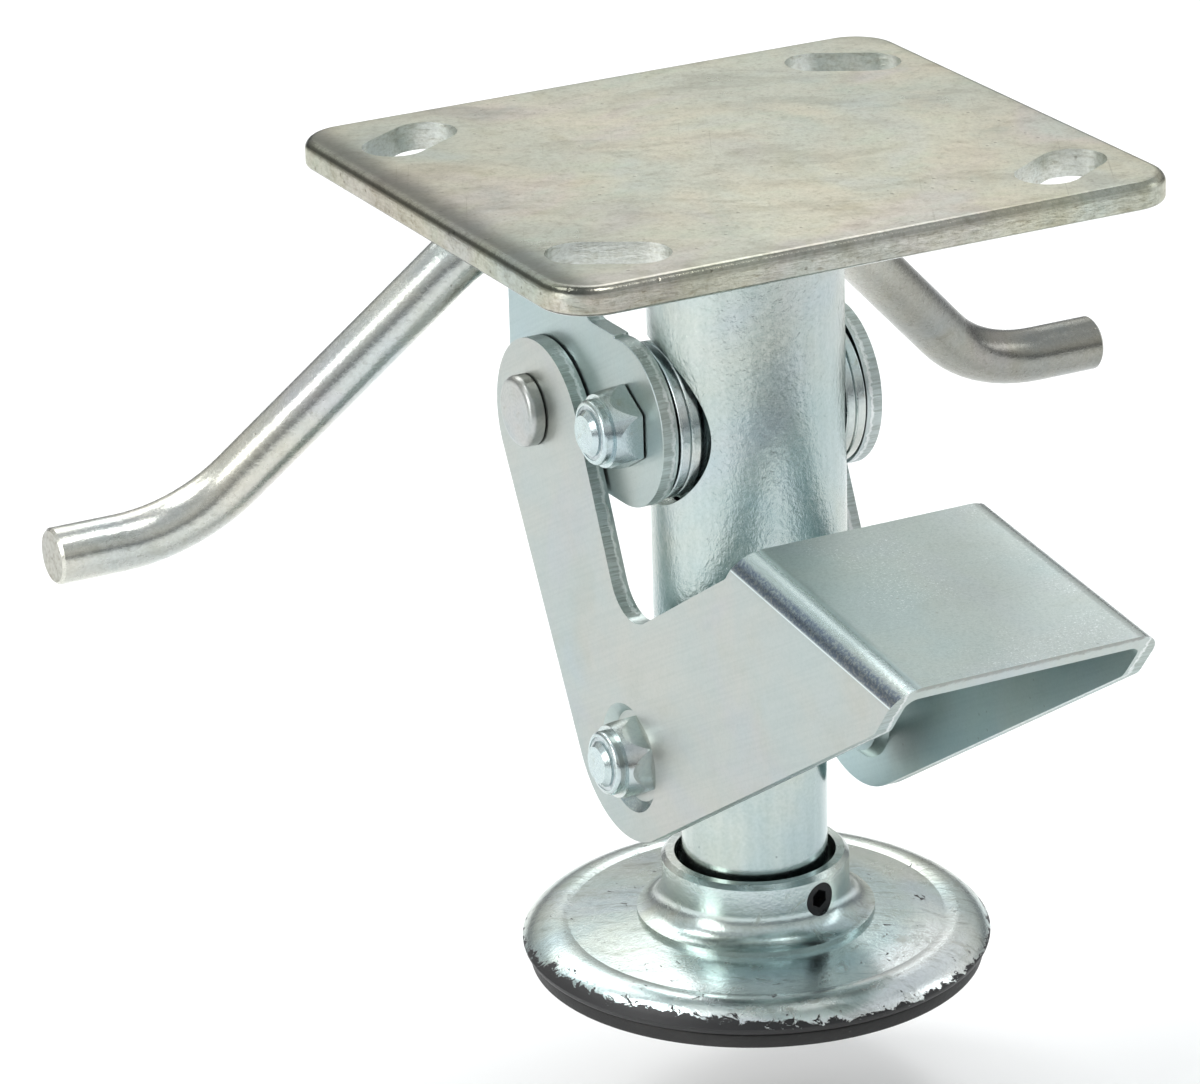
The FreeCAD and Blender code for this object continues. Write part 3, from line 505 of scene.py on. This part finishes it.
def finish_turned(name, tint, centre, seed, rough=0.24, dull=0.97):
    """Turned or headed steel with fine rings about an axis along X."""
    m = Zinc(name, dulled(tint.cool_bolt, dull), dulled(tint.warm_bolt, dull), seed)
    m.tint(0.5)
    dy, dz = m.y - centre[0], m.z - centre[1]
    radius = (dy * dy + dz * dz).root()
    rings = ((radius * 9.0).wave() * 0.5 + 0.5) * abs(m.nx).step(0.7, 0.95)
    patch = m.blotches(0.45, 0.35)
    stain = m.noise(0.30, 3.0, 0.6, 0.4, m.seeded)
    m.shade(stain.step(0.60, 0.74), (0.62, 0.50, 0.38), 0.45)
    m.shade(m.grain.step(0.36, 0.68), (0.90, 0.91, 0.92))
    shine = rough + 0.10 * (patch - 0.5) + 0.05 * rings
    relief = m.bump(rings, 0.008)
    relief = m.bump(m.grain + 0.6 * m.noise(0.8, 2.0, 0.5, 0.0, m.seeded), 0.022, relief)
    return m.surface(colour=m.colour, rough=shine, metal=1.0, normal=relief)


def finish_weld(tint):
    m = Zinc("weld_zinc", tint.cool_tube, tint.warm_plate, 8)
    m.tint(0.6)
    m.blotches(0.9, 0.30)
    spatter = m.pits(0.6, 0.35, 0.2)
    m.shade(spatter, (0.55, 0.50, 0.45), 0.6)
    m.shade(m.grain.step(0.4, 0.7), (0.85, 0.85, 0.84))
    relief = m.bump(m.noise(0.9, 3.0, 0.6, 0.0, m.seeded), 0.08)
    relief = m.bump(m.grain, 0.02, relief)
    return m.surface(colour=m.colour, rough=0.34 + 0.1 * (m.grain - 0.5), metal=1.0, normal=relief)


def finish_foot(name, tint, seed, rim):
    """Pressed and turned foot: zinc ringed round the plunger, chipped off down to a black rim."""
    m = Zinc(name, tint.cool_bolt, tint.warm_tube, seed)
    m.tint(0.55)
    radius = (m.x * m.x + m.y * m.y).root()
    patch = m.blotches(0.7, 0.14)
    up = m.nz.step(0.35, 0.75)
    wander = radius + 0.25 * m.noise(0.10, 2.0, 0.5, 0.0, m.seeded)
    fine = m.noise(1.0, 2.0, 0.6, 0.0, m.point(wander * 2.4, m.z * 0.6))
    broad = m.noise(1.0, 1.0, 0.5, 0.0, m.point(wander * 0.45, 3.0))
    scuff = m.drawn(5.0, 0.7, (0.45, 1.3, 1.0), (0, 0, 35), warp=0.6, scale=0.30)
    # Painted highlight: the front of the disc's upper face is lightened.
    front_highlight = radius.step(25.0, 33.0) * up * m.y.step(0.0, -22.0) * abs(m.x).step(34.0, 20.0)
    m.paint(front_highlight * 0.8, (0.94, 0.97, 0.97))
    m.shade(up * fine.step(0.42, 0.62), (0.96, 0.965, 0.965))
    m.shade(up * broad.step(0.45, 0.72), (0.95, 0.955, 0.95), 0.8)
    m.shade(up * scuff.step(0.52, 0.66), (0.78, 0.78, 0.76), 0.95)
    m.shade(m.grain.step(0.4, 0.7), (0.92, 0.92, 0.92))
    stain = m.noise(0.22, 4.0, 0.65, 0.5, m.seeded)
    m.shade(stain.step(0.60, 0.72), (0.60, 0.55, 0.48), 0.55)
    rough = 0.24 + 0.10 * (m.cloud - 0.5) + 0.10 * (fine - 0.5) + 0.12 * stain.step(0.55, 0.75)
    relief = m.bump(fine * up, 0.006)
    relief = m.bump(m.noise(0.6, 3.0, 0.6, 0.0, m.seeded), 0.022, relief)
    relief = m.bump(m.grain, 0.022, relief)
    if rim is None:
        return m.surface(colour=m.colour, rough=rough, metal=1.0, normal=relief)
    flaked = m.stretched(UNTURNED, (1.0, 1.0, 1.7), (9.0, 2.0, 5.0))
    chips = m.noise(0.34, 5.0, 0.74, 0.7, flaked)
    sweep = m.noise(0.035, 2.0, 0.5, 0.0, m.seeded)
    height = m.z - rim
    around = m.x * 0.72 + m.y * 0.69
    rise = around.step(-8.0, -40.0) * 0.9 + around.step(6.0, 34.0) * 0.7
    worn = (height - rise + 6.4 * (chips - 0.5) + 3.2 * (sweep - 0.5)).step(1.76, 1.66)
    scab = (height - 5.0).step(1.0, 0.0) * chips.step(0.655, 0.665)
    bare = worn.most(scab)
    lip = bare.step(0.02, 0.3) * bare.step(0.98, 0.6)
    m.paint(bare, (0.011, 0.011, 0.012))
    m.paint(lip * 0.7, (0.55, 0.55, 0.53))
    rough = rough + bare * 0.22
    relief = m.bump(1 - bare, 0.10, relief)
    return m.surface(colour=m.colour, rough=rough, metal=1 - bare, normal=relief)


def finish_rubber():
    m = Finish("pad_rubber")
    grain = m.noise(1.4, 3.0, 0.6)
    scuff = m.noise(0.5, 4.0, 0.7, 0.3, m.stretched(UNTURNED, (1.0, 1.0, 2.5)))
    dust = m.noise(0.08, 4.0, 0.6)
    colour = m.mix(dust.step(0.45, 0.75) * 0.6, (0.007, 0.007, 0.007), (0.026, 0.025, 0.024))
    colour = m.mix(scuff.step(0.62, 0.72) * 0.5, colour, (0.07, 0.07, 0.066))
    relief = m.bump(grain, 0.05)
    relief = m.bump(scuff, 0.10, relief)
    return m.surface(colour=colour, rough=0.52 + 0.22 * (scuff - 0.5), metal=0.0, normal=relief)


def finish_black_oxide():
    m = Finish("black_oxide")
    grain = m.noise(2.2, 3.0, 0.6)
    rust = m.noise(0.9, 3.0, 0.6)
    colour = m.mix(rust.step(0.55, 0.75) * 0.5, (0.018, 0.018, 0.020), (0.055, 0.040, 0.030))
    rough = 0.36 + 0.2 * (grain - 0.5)
    return m.surface(colour=colour, rough=rough, metal=0.6, normal=m.bump(grain, 0.03))


def finish_spring():
    m = Finish("spring_steel")
    grain = m.noise(1.5, 3.0, 0.6)
    oil = m.noise(0.2, 2.0, 0.5)
    colour = m.mix(oil.step(0.4, 0.6), (0.23, 0.24, 0.25), (0.36, 0.34, 0.31))
    rough = 0.30 + 0.2 * (grain - 0.5)
    return m.surface(colour=colour, rough=rough, metal=1.0, normal=m.bump(grain, 0.02))


def finish_nylon():
    m = Finish("nylon")
    grain = m.noise(1.8, 3.0, 0.6)
    wear = m.noise(0.8, 3.0, 0.6)
    colour = m.mix(wear.step(0.45, 0.65), (0.60, 0.66, 0.68), (0.40, 0.46, 0.48))
    rough = 0.42 + 0.1 * (grain - 0.5)
    return m.surface(colour=colour, rough=rough, metal=0.0, normal=m.bump(grain, 0.02))


# ---------------------------------------------------------------- modelling helpers


def select_only(*objects):
    if bpy.context.mode != "OBJECT":
        bpy.ops.object.mode_set(mode="OBJECT")
    bpy.ops.object.select_all(action="DESELECT")
    for o in objects:
        o.select_set(True)
    bpy.context.view_layer.objects.active = objects[-1] if objects else None


def edit(o):
    """Opens a mesh for editing with nothing selected in it."""
    select_only(o)
    bpy.ops.object.mode_set(mode="EDIT")
    bpy.ops.mesh.select_all(action="DESELECT")


def done():
    bpy.ops.object.mode_set(mode="OBJECT")


def inset(distance):
    bpy.ops.mesh.inset(thickness=distance * MM)


def push(height):
    bpy.ops.transform.translate(value=(0, 0, height * MM))


def apply_modifiers(o):
    select_only(o)
    for modifier in list(o.modifiers):
        bpy.ops.object.modifier_apply(modifier=modifier.name)


def settle(o, name, body, material, smooth=35.0):
    """Names a finished piece, bakes its place into its mesh and hangs it on its body."""
    o.name = name
    o.data.name = name
    select_only(o)
    bpy.ops.object.transform_apply(location=True, rotation=True, scale=True)
    bpy.ops.object.shade_smooth_by_angle(angle=math.radians(smooth))
    o.data.materials.clear()
    o.data.materials.append(material)
    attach(o, body)


def body_of(node):
    return frame["nodes"][node]["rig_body"]


def dress(node, material):
    """Gives a CAD node its finish."""
    slots = frame["nodes"][node].material_slots
    if not slots:
        raise RuntimeError(node + " has no material slot")
    for s in slots:
        s.link = "OBJECT"
        s.material = material


def softened_copy(node, name, width, material, angle=38.0, smooth=32.0):
    """A copy of a CAD node whose sharp cut edges are broken by a small bevel."""
    source = frame["nodes"][node]
    select_only(source)
    bpy.ops.object.duplicate()
    o = bpy.context.view_layer.objects.active
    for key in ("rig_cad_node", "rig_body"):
        if key in o:
            del o[key]
    o.parent = None
    o.matrix_world = Matrix.Identity(4)
    edit(o)
    bpy.ops.mesh.select_all(action="SELECT")
    bpy.ops.mesh.customdata_custom_splitnormals_clear()
    bpy.ops.mesh.remove_doubles(threshold=0.002 * MM)
    bpy.ops.mesh.dissolve_limited(angle_limit=math.radians(0.6), use_dissolve_boundaries=False)
    done()
    bevel = o.modifiers.new("broken edge", "BEVEL")
    bevel.width = width * MM
    bevel.segments = 2
    bevel.limit_method = "ANGLE"
    bevel.angle_limit = math.radians(angle)
    bevel.use_clamp_overlap = True
    bevel.miter_outer = "MITER_SHARP"
    apply_modifiers(o)
    settle(o, name, body_of(node), material, smooth)
    even = o.modifiers.new("even shading", "WEIGHTED_NORMAL")
    even.keep_sharp = True
    apply_modifiers(o)
    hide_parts(node)


# ---------------------------------------------------------------- settings


class LockColours(bpy.types.PropertyGroup):
    def colour(label, text, value):
        return bpy.props.FloatVectorProperty(
            name=label, description=text, default=value, subtype="COLOR", size=3, min=0.0, max=1.0
        )

    cool_plate: colour("Plate, cool", "Cooler tone of the plate's zinc", (0.600, 0.615, 0.565))
    warm_plate: colour("Plate, warm", "Warmer tone of the plate's zinc", (0.635, 0.610, 0.530))
    cool_sheet: colour("Sheet, cool", "Cooler tone of the pressed sheet", (0.480, 0.575, 0.590))
    warm_sheet: colour("Sheet, warm", "Warmer tone of the pressed sheet", (0.530, 0.590, 0.582))
    cool_tube: colour("Tube, cool", "Cooler tone of the tubes", (0.525, 0.620, 0.640))
    warm_tube: colour("Tube, warm", "Warmer tone of the tubes", (0.600, 0.650, 0.625))
    cool_bar: colour("Bar, cool", "Cooler tone of the round bar", (0.560, 0.590, 0.600))
    warm_bar: colour("Bar, warm", "Warmer tone of the round bar", (0.630, 0.620, 0.570))
    cool_bolt: colour(
        "Fasteners, cool", "Cooler tone of bolts and turned parts", (0.520, 0.620, 0.645)
    )
    warm_bolt: colour(
        "Fasteners, warm", "Warmer tone of bolts and turned parts", (0.640, 0.660, 0.640)
    )
    floor: colour("Floor", "Colour of the floor", (0.97, 0.97, 0.965))


class LockSizes(bpy.types.PropertyGroup):
    broken_edge: bpy.props.FloatProperty(
        name="Broken edge",
        description="Width of the bevel on the pressed sheet's cut edges",
        default=0.30 * MM,
        min=0.05 * MM,
        max=0.8 * MM,
        unit="LENGTH",
    )
    weld_ripples: bpy.props.IntProperty(
        name="Weld ripples",
        description="Ripples in the weld bead right round the housing",
        default=64,
        min=16,
        max=120,
    )
    sole_grooves: bpy.props.IntProperty(
        name="Sole grooves",
        description="Ring grooves moulded in the pad's underside",
        default=5,
        min=1,
        max=8,
    )


# ---------------------------------------------------------------- operators


class FLOORLOCK_OT_plate(bpy.types.Operator):
    """Finish the mounting plate"""

    bl_idname = "floorlock.plate"
    bl_label = "Mounting Plate"

    def execute(self, context):
        dress("top_plate", finish_plate(context.scene.lock_colours))
        return {"FINISHED"}


class FLOORLOCK_OT_housing(bpy.types.Operator):
    """Finish the housing tube and lay its rippled weld bead"""

    bl_idname = "floorlock.housing"
    bl_label = "Housing and Weld"

    def execute(self, context):
        tint = context.scene.lock_colours
        dress("housing_tube", finish_tube("housing_zinc", tint, 0.19, 2, 0.20, 0.85))
        low, high = extent("housing_weld")
        leg = high.z - low.z
        wall = high.x - leg
        count = context.scene.lock_sizes.weld_ripples
        select_only()
        bpy.ops.mesh.primitive_torus_add(
            major_segments=count * 4,
            minor_segments=BEAD_SIDES,
            major_radius=(wall + BEAD_SINK * leg) * MM,
            minor_radius=BEAD_RADIUS * leg * MM,
            location=(0, 0, (high.z - BEAD_SINK * leg) * MM),
        )
        o = bpy.context.view_layer.objects.active
        for v in o.data.vertices:
            around = math.atan2(v.co.y, v.co.x)
            phase = count * around + 0.9 * math.sin(5 * around)
            lift = (
                1.0
                + 0.045 * math.sin(phase)
                + 0.05 * math.sin(3 * around + 1)
                + 0.03 * math.sin(11 * around)
            )
            radial = Vector((math.cos(around), math.sin(around), 0)) * (wall + BEAD_SINK * leg) * MM
            v.co = radial + (v.co - radial) * min(lift, BEAD_FULLEST)
        edit(o)
        bpy.ops.mesh.select_all(action="SELECT")
        bpy.ops.mesh.bisect(
            plane_co=(0, 0, high.z * MM), plane_no=(0, 0, 1), use_fill=False, clear_outer=True
        )
        done()
        node = "housing_weld"
        settle(o, "housing_weld_bead", body_of(node), finish_weld(tint), 60)
        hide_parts(node)
        return {"FINISHED"}


class FLOORLOCK_OT_crank(bpy.types.Operator):
    """Finish the crank plates, the release bar, its welds and the rivets"""

    bl_idname = "floorlock.crank"
    bl_label = "Crank and Release Bar"

    def execute(self, context):
        tint = context.scene.lock_colours
        width = context.scene.lock_sizes.broken_edge / MM
        for side in ("left", "right"):
            node = "crank_plate_" + side
            low, high = extent(node)
            near, far = sorted((abs(low.x), abs(high.x)))
            seed = 3 if side == "left" else 4
            material = finish_sheet("crank_zinc_" + side, tint, far, near, seed)
            softened_copy(node, "crank_ear_" + side, EAR_EDGE_SHARE * width, material)
        dress("release_bar", finish_bar(tint))
        dress("bar_welds", bpy.data.materials["weld_zinc"])
        hinge = [along / MM for along in joint("pedal_hinge")["pos_m"]]
        rivet = finish_turned("rivet_zinc", tint, hinge[1:], 6, 0.34, 0.72)
        dress("crank_rivets", rivet)
        return {"FINISHED"}


class FLOORLOCK_OT_pivots(bpy.types.Operator):
    """Finish the cross bolts, lock nuts, nylon rings, sleeve, discs and spacers"""

    bl_idname = "floorlock.pivots"
    bl_label = "Cross Bolts and Nuts"

    def execute(self, context):
        tint = context.scene.lock_colours
        nylon = finish_nylon()
        for place, seed in (("upper", 7), ("lower", 9)):
            centre = middle(place + "_lock_nut")
            metal = finish_turned(place + "_bolt_zinc", tint, (centre.y, centre.z), seed)
            dress(place + "_bolt", metal)
            dress(place + "_lock_nut", metal)
            dress(place + "_nut_insert", nylon)
        centre = middle("pivot_sleeve")
        disc = finish_turned("disc_zinc", tint, (centre.y, centre.z), 10, 0.26)
        for node in ("pivot_sleeve", "pivot_discs_left", "pivot_discs_right"):
            dress(node, disc)
        dress("lower_spacers", bpy.data.materials["lower_bolt_zinc"])
        return {"FINISHED"}


class FLOORLOCK_OT_pedal(bpy.types.Operator):
    """Finish the folded pedal and break its cut edges"""

    bl_idname = "floorlock.pedal"
    bl_label = "Pedal"

    def execute(self, context):
        tint = context.scene.lock_colours
        width = context.scene.lock_sizes.broken_edge / MM
        low, high = extent("pedal")
        corners = [v.co / MM for v in frame["nodes"]["pedal"].data.vertices]
        lip_top = max(corner.z for corner in corners if corner.y < low.y + LIP_BAND)
        sheet = high.x - abs(extent("crank_plate_left")[0].x) - EAR_TO_CHEEK
        material = finish_sheet("pedal_zinc", tint, high.x, high.x - sheet, 11, lip_top)
        softened_copy("pedal", "folded_pedal", width, material)
        return {"FINISHED"}


class FLOORLOCK_OT_plunger(bpy.types.Operator):
    """Finish the plunger, its plug and the spring inside"""

    bl_idname = "floorlock.plunger"
    bl_label = "Plunger and Spring"

    def execute(self, context):
        tint = context.scene.lock_colours
        metal = finish_tube("plunger_zinc", tint, 0.012, 12, 0.20, 0.86)
        dress("plunger_tube", metal)
        dress("plunger_plug", metal)
        dress("return_spring", finish_spring())
        return {"FINISHED"}


class FLOORLOCK_OT_foot(bpy.types.Operator):
    """Finish the foot's collar and disc, its set screw and the moulded rubber pad"""

    bl_idname = "floorlock.foot"
    bl_label = "Foot"

    def execute(self, context):
        tint = context.scene.lock_colours
        rim = extent("foot_disc")[0].z
        dress("foot_disc", finish_foot("foot_disc_zinc", tint, 13, rim))
        dress("foot_collar", finish_foot("foot_collar_zinc", tint, 14, None))
        dress("foot_set_screw", finish_black_oxide())
        self.mould_pad(context.scene.lock_sizes.sole_grooves, rim)
        return {"FINISHED"}

    def mould_pad(self, grooves, rim):
        low, high = extent("foot_pad")
        select_only()
        bpy.ops.mesh.primitive_cylinder_add(
            vertices=PAD_SIDES,
            radius=(high.x - PAD_PLAY) * MM,
            depth=(rim - low.z - PAD_PLAY) * MM,
            location=(0, 0, (rim + low.z - PAD_PLAY) / 2 * MM),
        )
        o = bpy.context.view_layer.objects.active
        select_only(o)
        bpy.ops.object.transform_apply(location=True, rotation=False, scale=False)
        sole = next(p.index for p in o.data.polygons if p.normal.z < -0.9)
        edit(o)
        bpy.ops.mesh.select_mode(type="FACE")
        done()
        o.data.polygons[sole].select = True
        bpy.ops.object.mode_set(mode="EDIT")
        inset(SOLE_MARGIN)
        for _ in range(grooves):
            inset(GROOVE_WALL)
            push(GROOVE_DEPTH)
            inset(GROOVE_WIDTH)
            inset(GROOVE_WALL)
            push(-GROOVE_DEPTH)
            inset(GROOVE_SPACING)
        inset(GROOVE_WALL)
        push(GROOVE_DEPTH)
        done()
        bevel = o.modifiers.new("soft moulding", "BEVEL")
        bevel.width = PAD_EDGE * MM
        bevel.segments = 3
        bevel.limit_method = "ANGLE"
        bevel.angle_limit = math.radians(50)
        apply_modifiers(o)
        node = "foot_pad"
        settle(o, "moulded_pad", body_of(node), finish_rubber(), 40)
        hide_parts(node)


class FLOORLOCK_OT_stage(bpy.types.Operator):
    """Lay the floor where the lowered foot meets it, hang the lights and place the camera"""

    bl_idname = "floorlock.stage"
    bl_label = "Floor, Lights and Camera"

    def execute(self, context):
        tint = context.scene.lock_colours
        self.lay_floor(tint.floor)
        self.light_room(context.scene)
        self.place_camera(context.scene)
        return {"FINISHED"}

    def lay_floor(self, colour):
        low, _ = extent("foot_pad")
        reach = low.z * MM - joint("plunger_slide")["range_m"][1]
        select_only()
        bpy.ops.mesh.primitive_plane_add(size=FLOOR_SIZE, location=(0, 0, reach))
        floor = bpy.context.view_layer.objects.active
        edit(floor)
        bpy.ops.mesh.select_all(action="SELECT")
        bpy.ops.mesh.subdivide(number_cuts=3)
        done()
        select_only(floor)
        bpy.ops.object.transform_apply(location=True, rotation=False, scale=False)
        floor.name = "floor"
        m = Finish("floor_paper")
        tone = m.noise(0.004, 2.0, 0.5)
        paper = m.mix(tone.step(0.3, 0.7), tuple(colour), tuple(0.985 * c for c in colour))
        m.surface(colour=paper, rough=0.85, metal=0.0, specular=0.2)
        floor.data.materials.append(m.material)

    def light_room(self, scene):
        world = bpy.data.worlds.new("studio")
        world.use_nodes = True
        tree = world.node_tree
        tree.nodes.clear()
        out = tree.nodes.new("ShaderNodeOutputWorld")
        sky = tree.nodes.new("ShaderNodeBackground")
        place = tree.nodes.new("ShaderNodeTexCoord")
        split = tree.nodes.new("ShaderNodeSeparateXYZ")
        ramp = tree.nodes.new("ShaderNodeValToRGB")
        tree.links.new(place.outputs["Generated"], split.inputs[0])
        tree.links.new(split.outputs[2], ramp.inputs[0])
        stops = (
            (0.00, (0.14, 0.15, 0.16)),
            (0.12, (0.18, 0.19, 0.20)),
            (0.25, (0.60, 0.60, 0.58)),
            (0.42, (0.70, 0.70, 0.68)),
            (0.56, (0.74, 0.76, 0.77)),
            (0.76, (0.56, 0.59, 0.62)),
            (1.00, (0.58, 0.61, 0.64)),
        )
        set_stops(ramp.color_ramp, stops)
        tree.links.new(ramp.outputs[0], sky.inputs["Color"])
        sky.inputs["Strength"].default_value = 1.0
        tree.links.new(sky.outputs[0], out.inputs[0])
        scene.world = world
        lamps = (
            ("left_softbox", (-1.20, -0.10, 0.35), 0.50, 0.8, 5.0, (1.0, 0.995, 0.98)),
            ("right_softbox", (1.25, -0.35, 0.45), 0.30, 0.8, 1.2, (0.98, 0.99, 1.0)),
            ("upper_left_softbox", (-0.68, 0.42, 1.30), 0.60, 0.60, 9.0, (1.0, 1.0, 1.0)),
            ("upper_right_softbox", (0.26, -0.34, 1.45), 0.42, 0.42, 6.0, (1.0, 1.0, 1.0)),
            ("back_softbox", (0.15, 1.40, 1.30), 1.8, 0.9, 12.0, (1.0, 1.0, 1.0)),
        )
        aim = Vector(LAMP_AIM)
        for name, place, width, height, power, colour in lamps:
            bpy.ops.object.light_add(type="AREA", location=place)
            lamp = bpy.context.view_layer.objects.active
            lamp.name = name
            lamp.data.shape = "RECTANGLE"
            lamp.data.size = width
            lamp.data.size_y = height
            lamp.data.energy = power
            lamp.data.color = colour
            lamp.rotation_euler = (Vector(place) - aim).to_track_quat("Z", "Y").to_euler()

    def place_camera(self, scene):
        turn, rise, roll = math.radians(CAMERA_TURN), math.radians(CAMERA_RISE), CAMERA_ROLL_RADIANS
        level = math.cos(rise)
        back = Vector((math.sin(turn) * level, -math.cos(turn) * level, math.sin(rise)))
        right = (-back).cross(Vector((0, 0, 1))).normalized()
        up = right.cross(-back)
        right, up = (
            right * math.cos(roll) + up * math.sin(roll),
            up * math.cos(roll) - right * math.sin(roll),
        )
        bpy.ops.object.camera_add()
        camera = bpy.context.view_layer.objects.active
        camera.name = "camera"
        place = Vector(CAMERA_PLACE) * MM
        camera.matrix_world = Matrix(
            (
                (right.x, up.x, back.x, place.x),
                (right.y, up.y, back.y, place.y),
                (right.z, up.z, back.z, place.z),
                (0, 0, 0, 1),
            )
        )
        camera.data.sensor_width = SENSOR_WIDTH
        camera.data.sensor_fit = "HORIZONTAL"
        camera.data.lens = LENS_PER_SENSOR_WIDTH * SENSOR_WIDTH
        camera.data.clip_start = 0.05
        camera.data.clip_end = 60.0
        scene.camera = camera


class FLOORLOCK_PT_panel(bpy.types.Panel):
    bl_idname = "FLOORLOCK_PT_panel"
    bl_label = "Floor Lock"
    bl_space_type = "VIEW_3D"
    bl_region_type = "UI"
    bl_category = "Floor Lock"

    def draw(self, context):
        column = self.layout.column(align=True)
        for operator in BUILD_ORDER:
            column.operator(operator.bl_idname)
        box = self.layout.box()
        for name in LockSizes.__annotations__:
            box.prop(context.scene.lock_sizes, name)
        for name in LockColours.__annotations__:
            box.prop(context.scene.lock_colours, name)


BUILD_ORDER = (
    FLOORLOCK_OT_plate,
    FLOORLOCK_OT_housing,
    FLOORLOCK_OT_crank,
    FLOORLOCK_OT_pivots,
    FLOORLOCK_OT_pedal,
    FLOORLOCK_OT_plunger,
    FLOORLOCK_OT_foot,
    FLOORLOCK_OT_stage,
)
CLASSES = (LockColours, LockSizes, *BUILD_ORDER, FLOORLOCK_PT_panel)


def register():
    for c in CLASSES:
        bpy.utils.register_class(c)
    bpy.types.Scene.lock_colours = bpy.props.PointerProperty(type=LockColours)
    bpy.types.Scene.lock_sizes = bpy.props.PointerProperty(type=LockSizes)


def unregister():
    del bpy.types.Scene.lock_sizes
    del bpy.types.Scene.lock_colours
    for c in reversed(CLASSES):
        bpy.utils.unregister_class(c)


def main():
    register()
    bpy.context.scene.view_settings.view_transform = "Standard"
    for operator in BUILD_ORDER:
        area, name = operator.bl_idname.split(".")
        getattr(getattr(bpy.ops, area), name)()
    select_only()


if __name__ == "__main__":
    main()
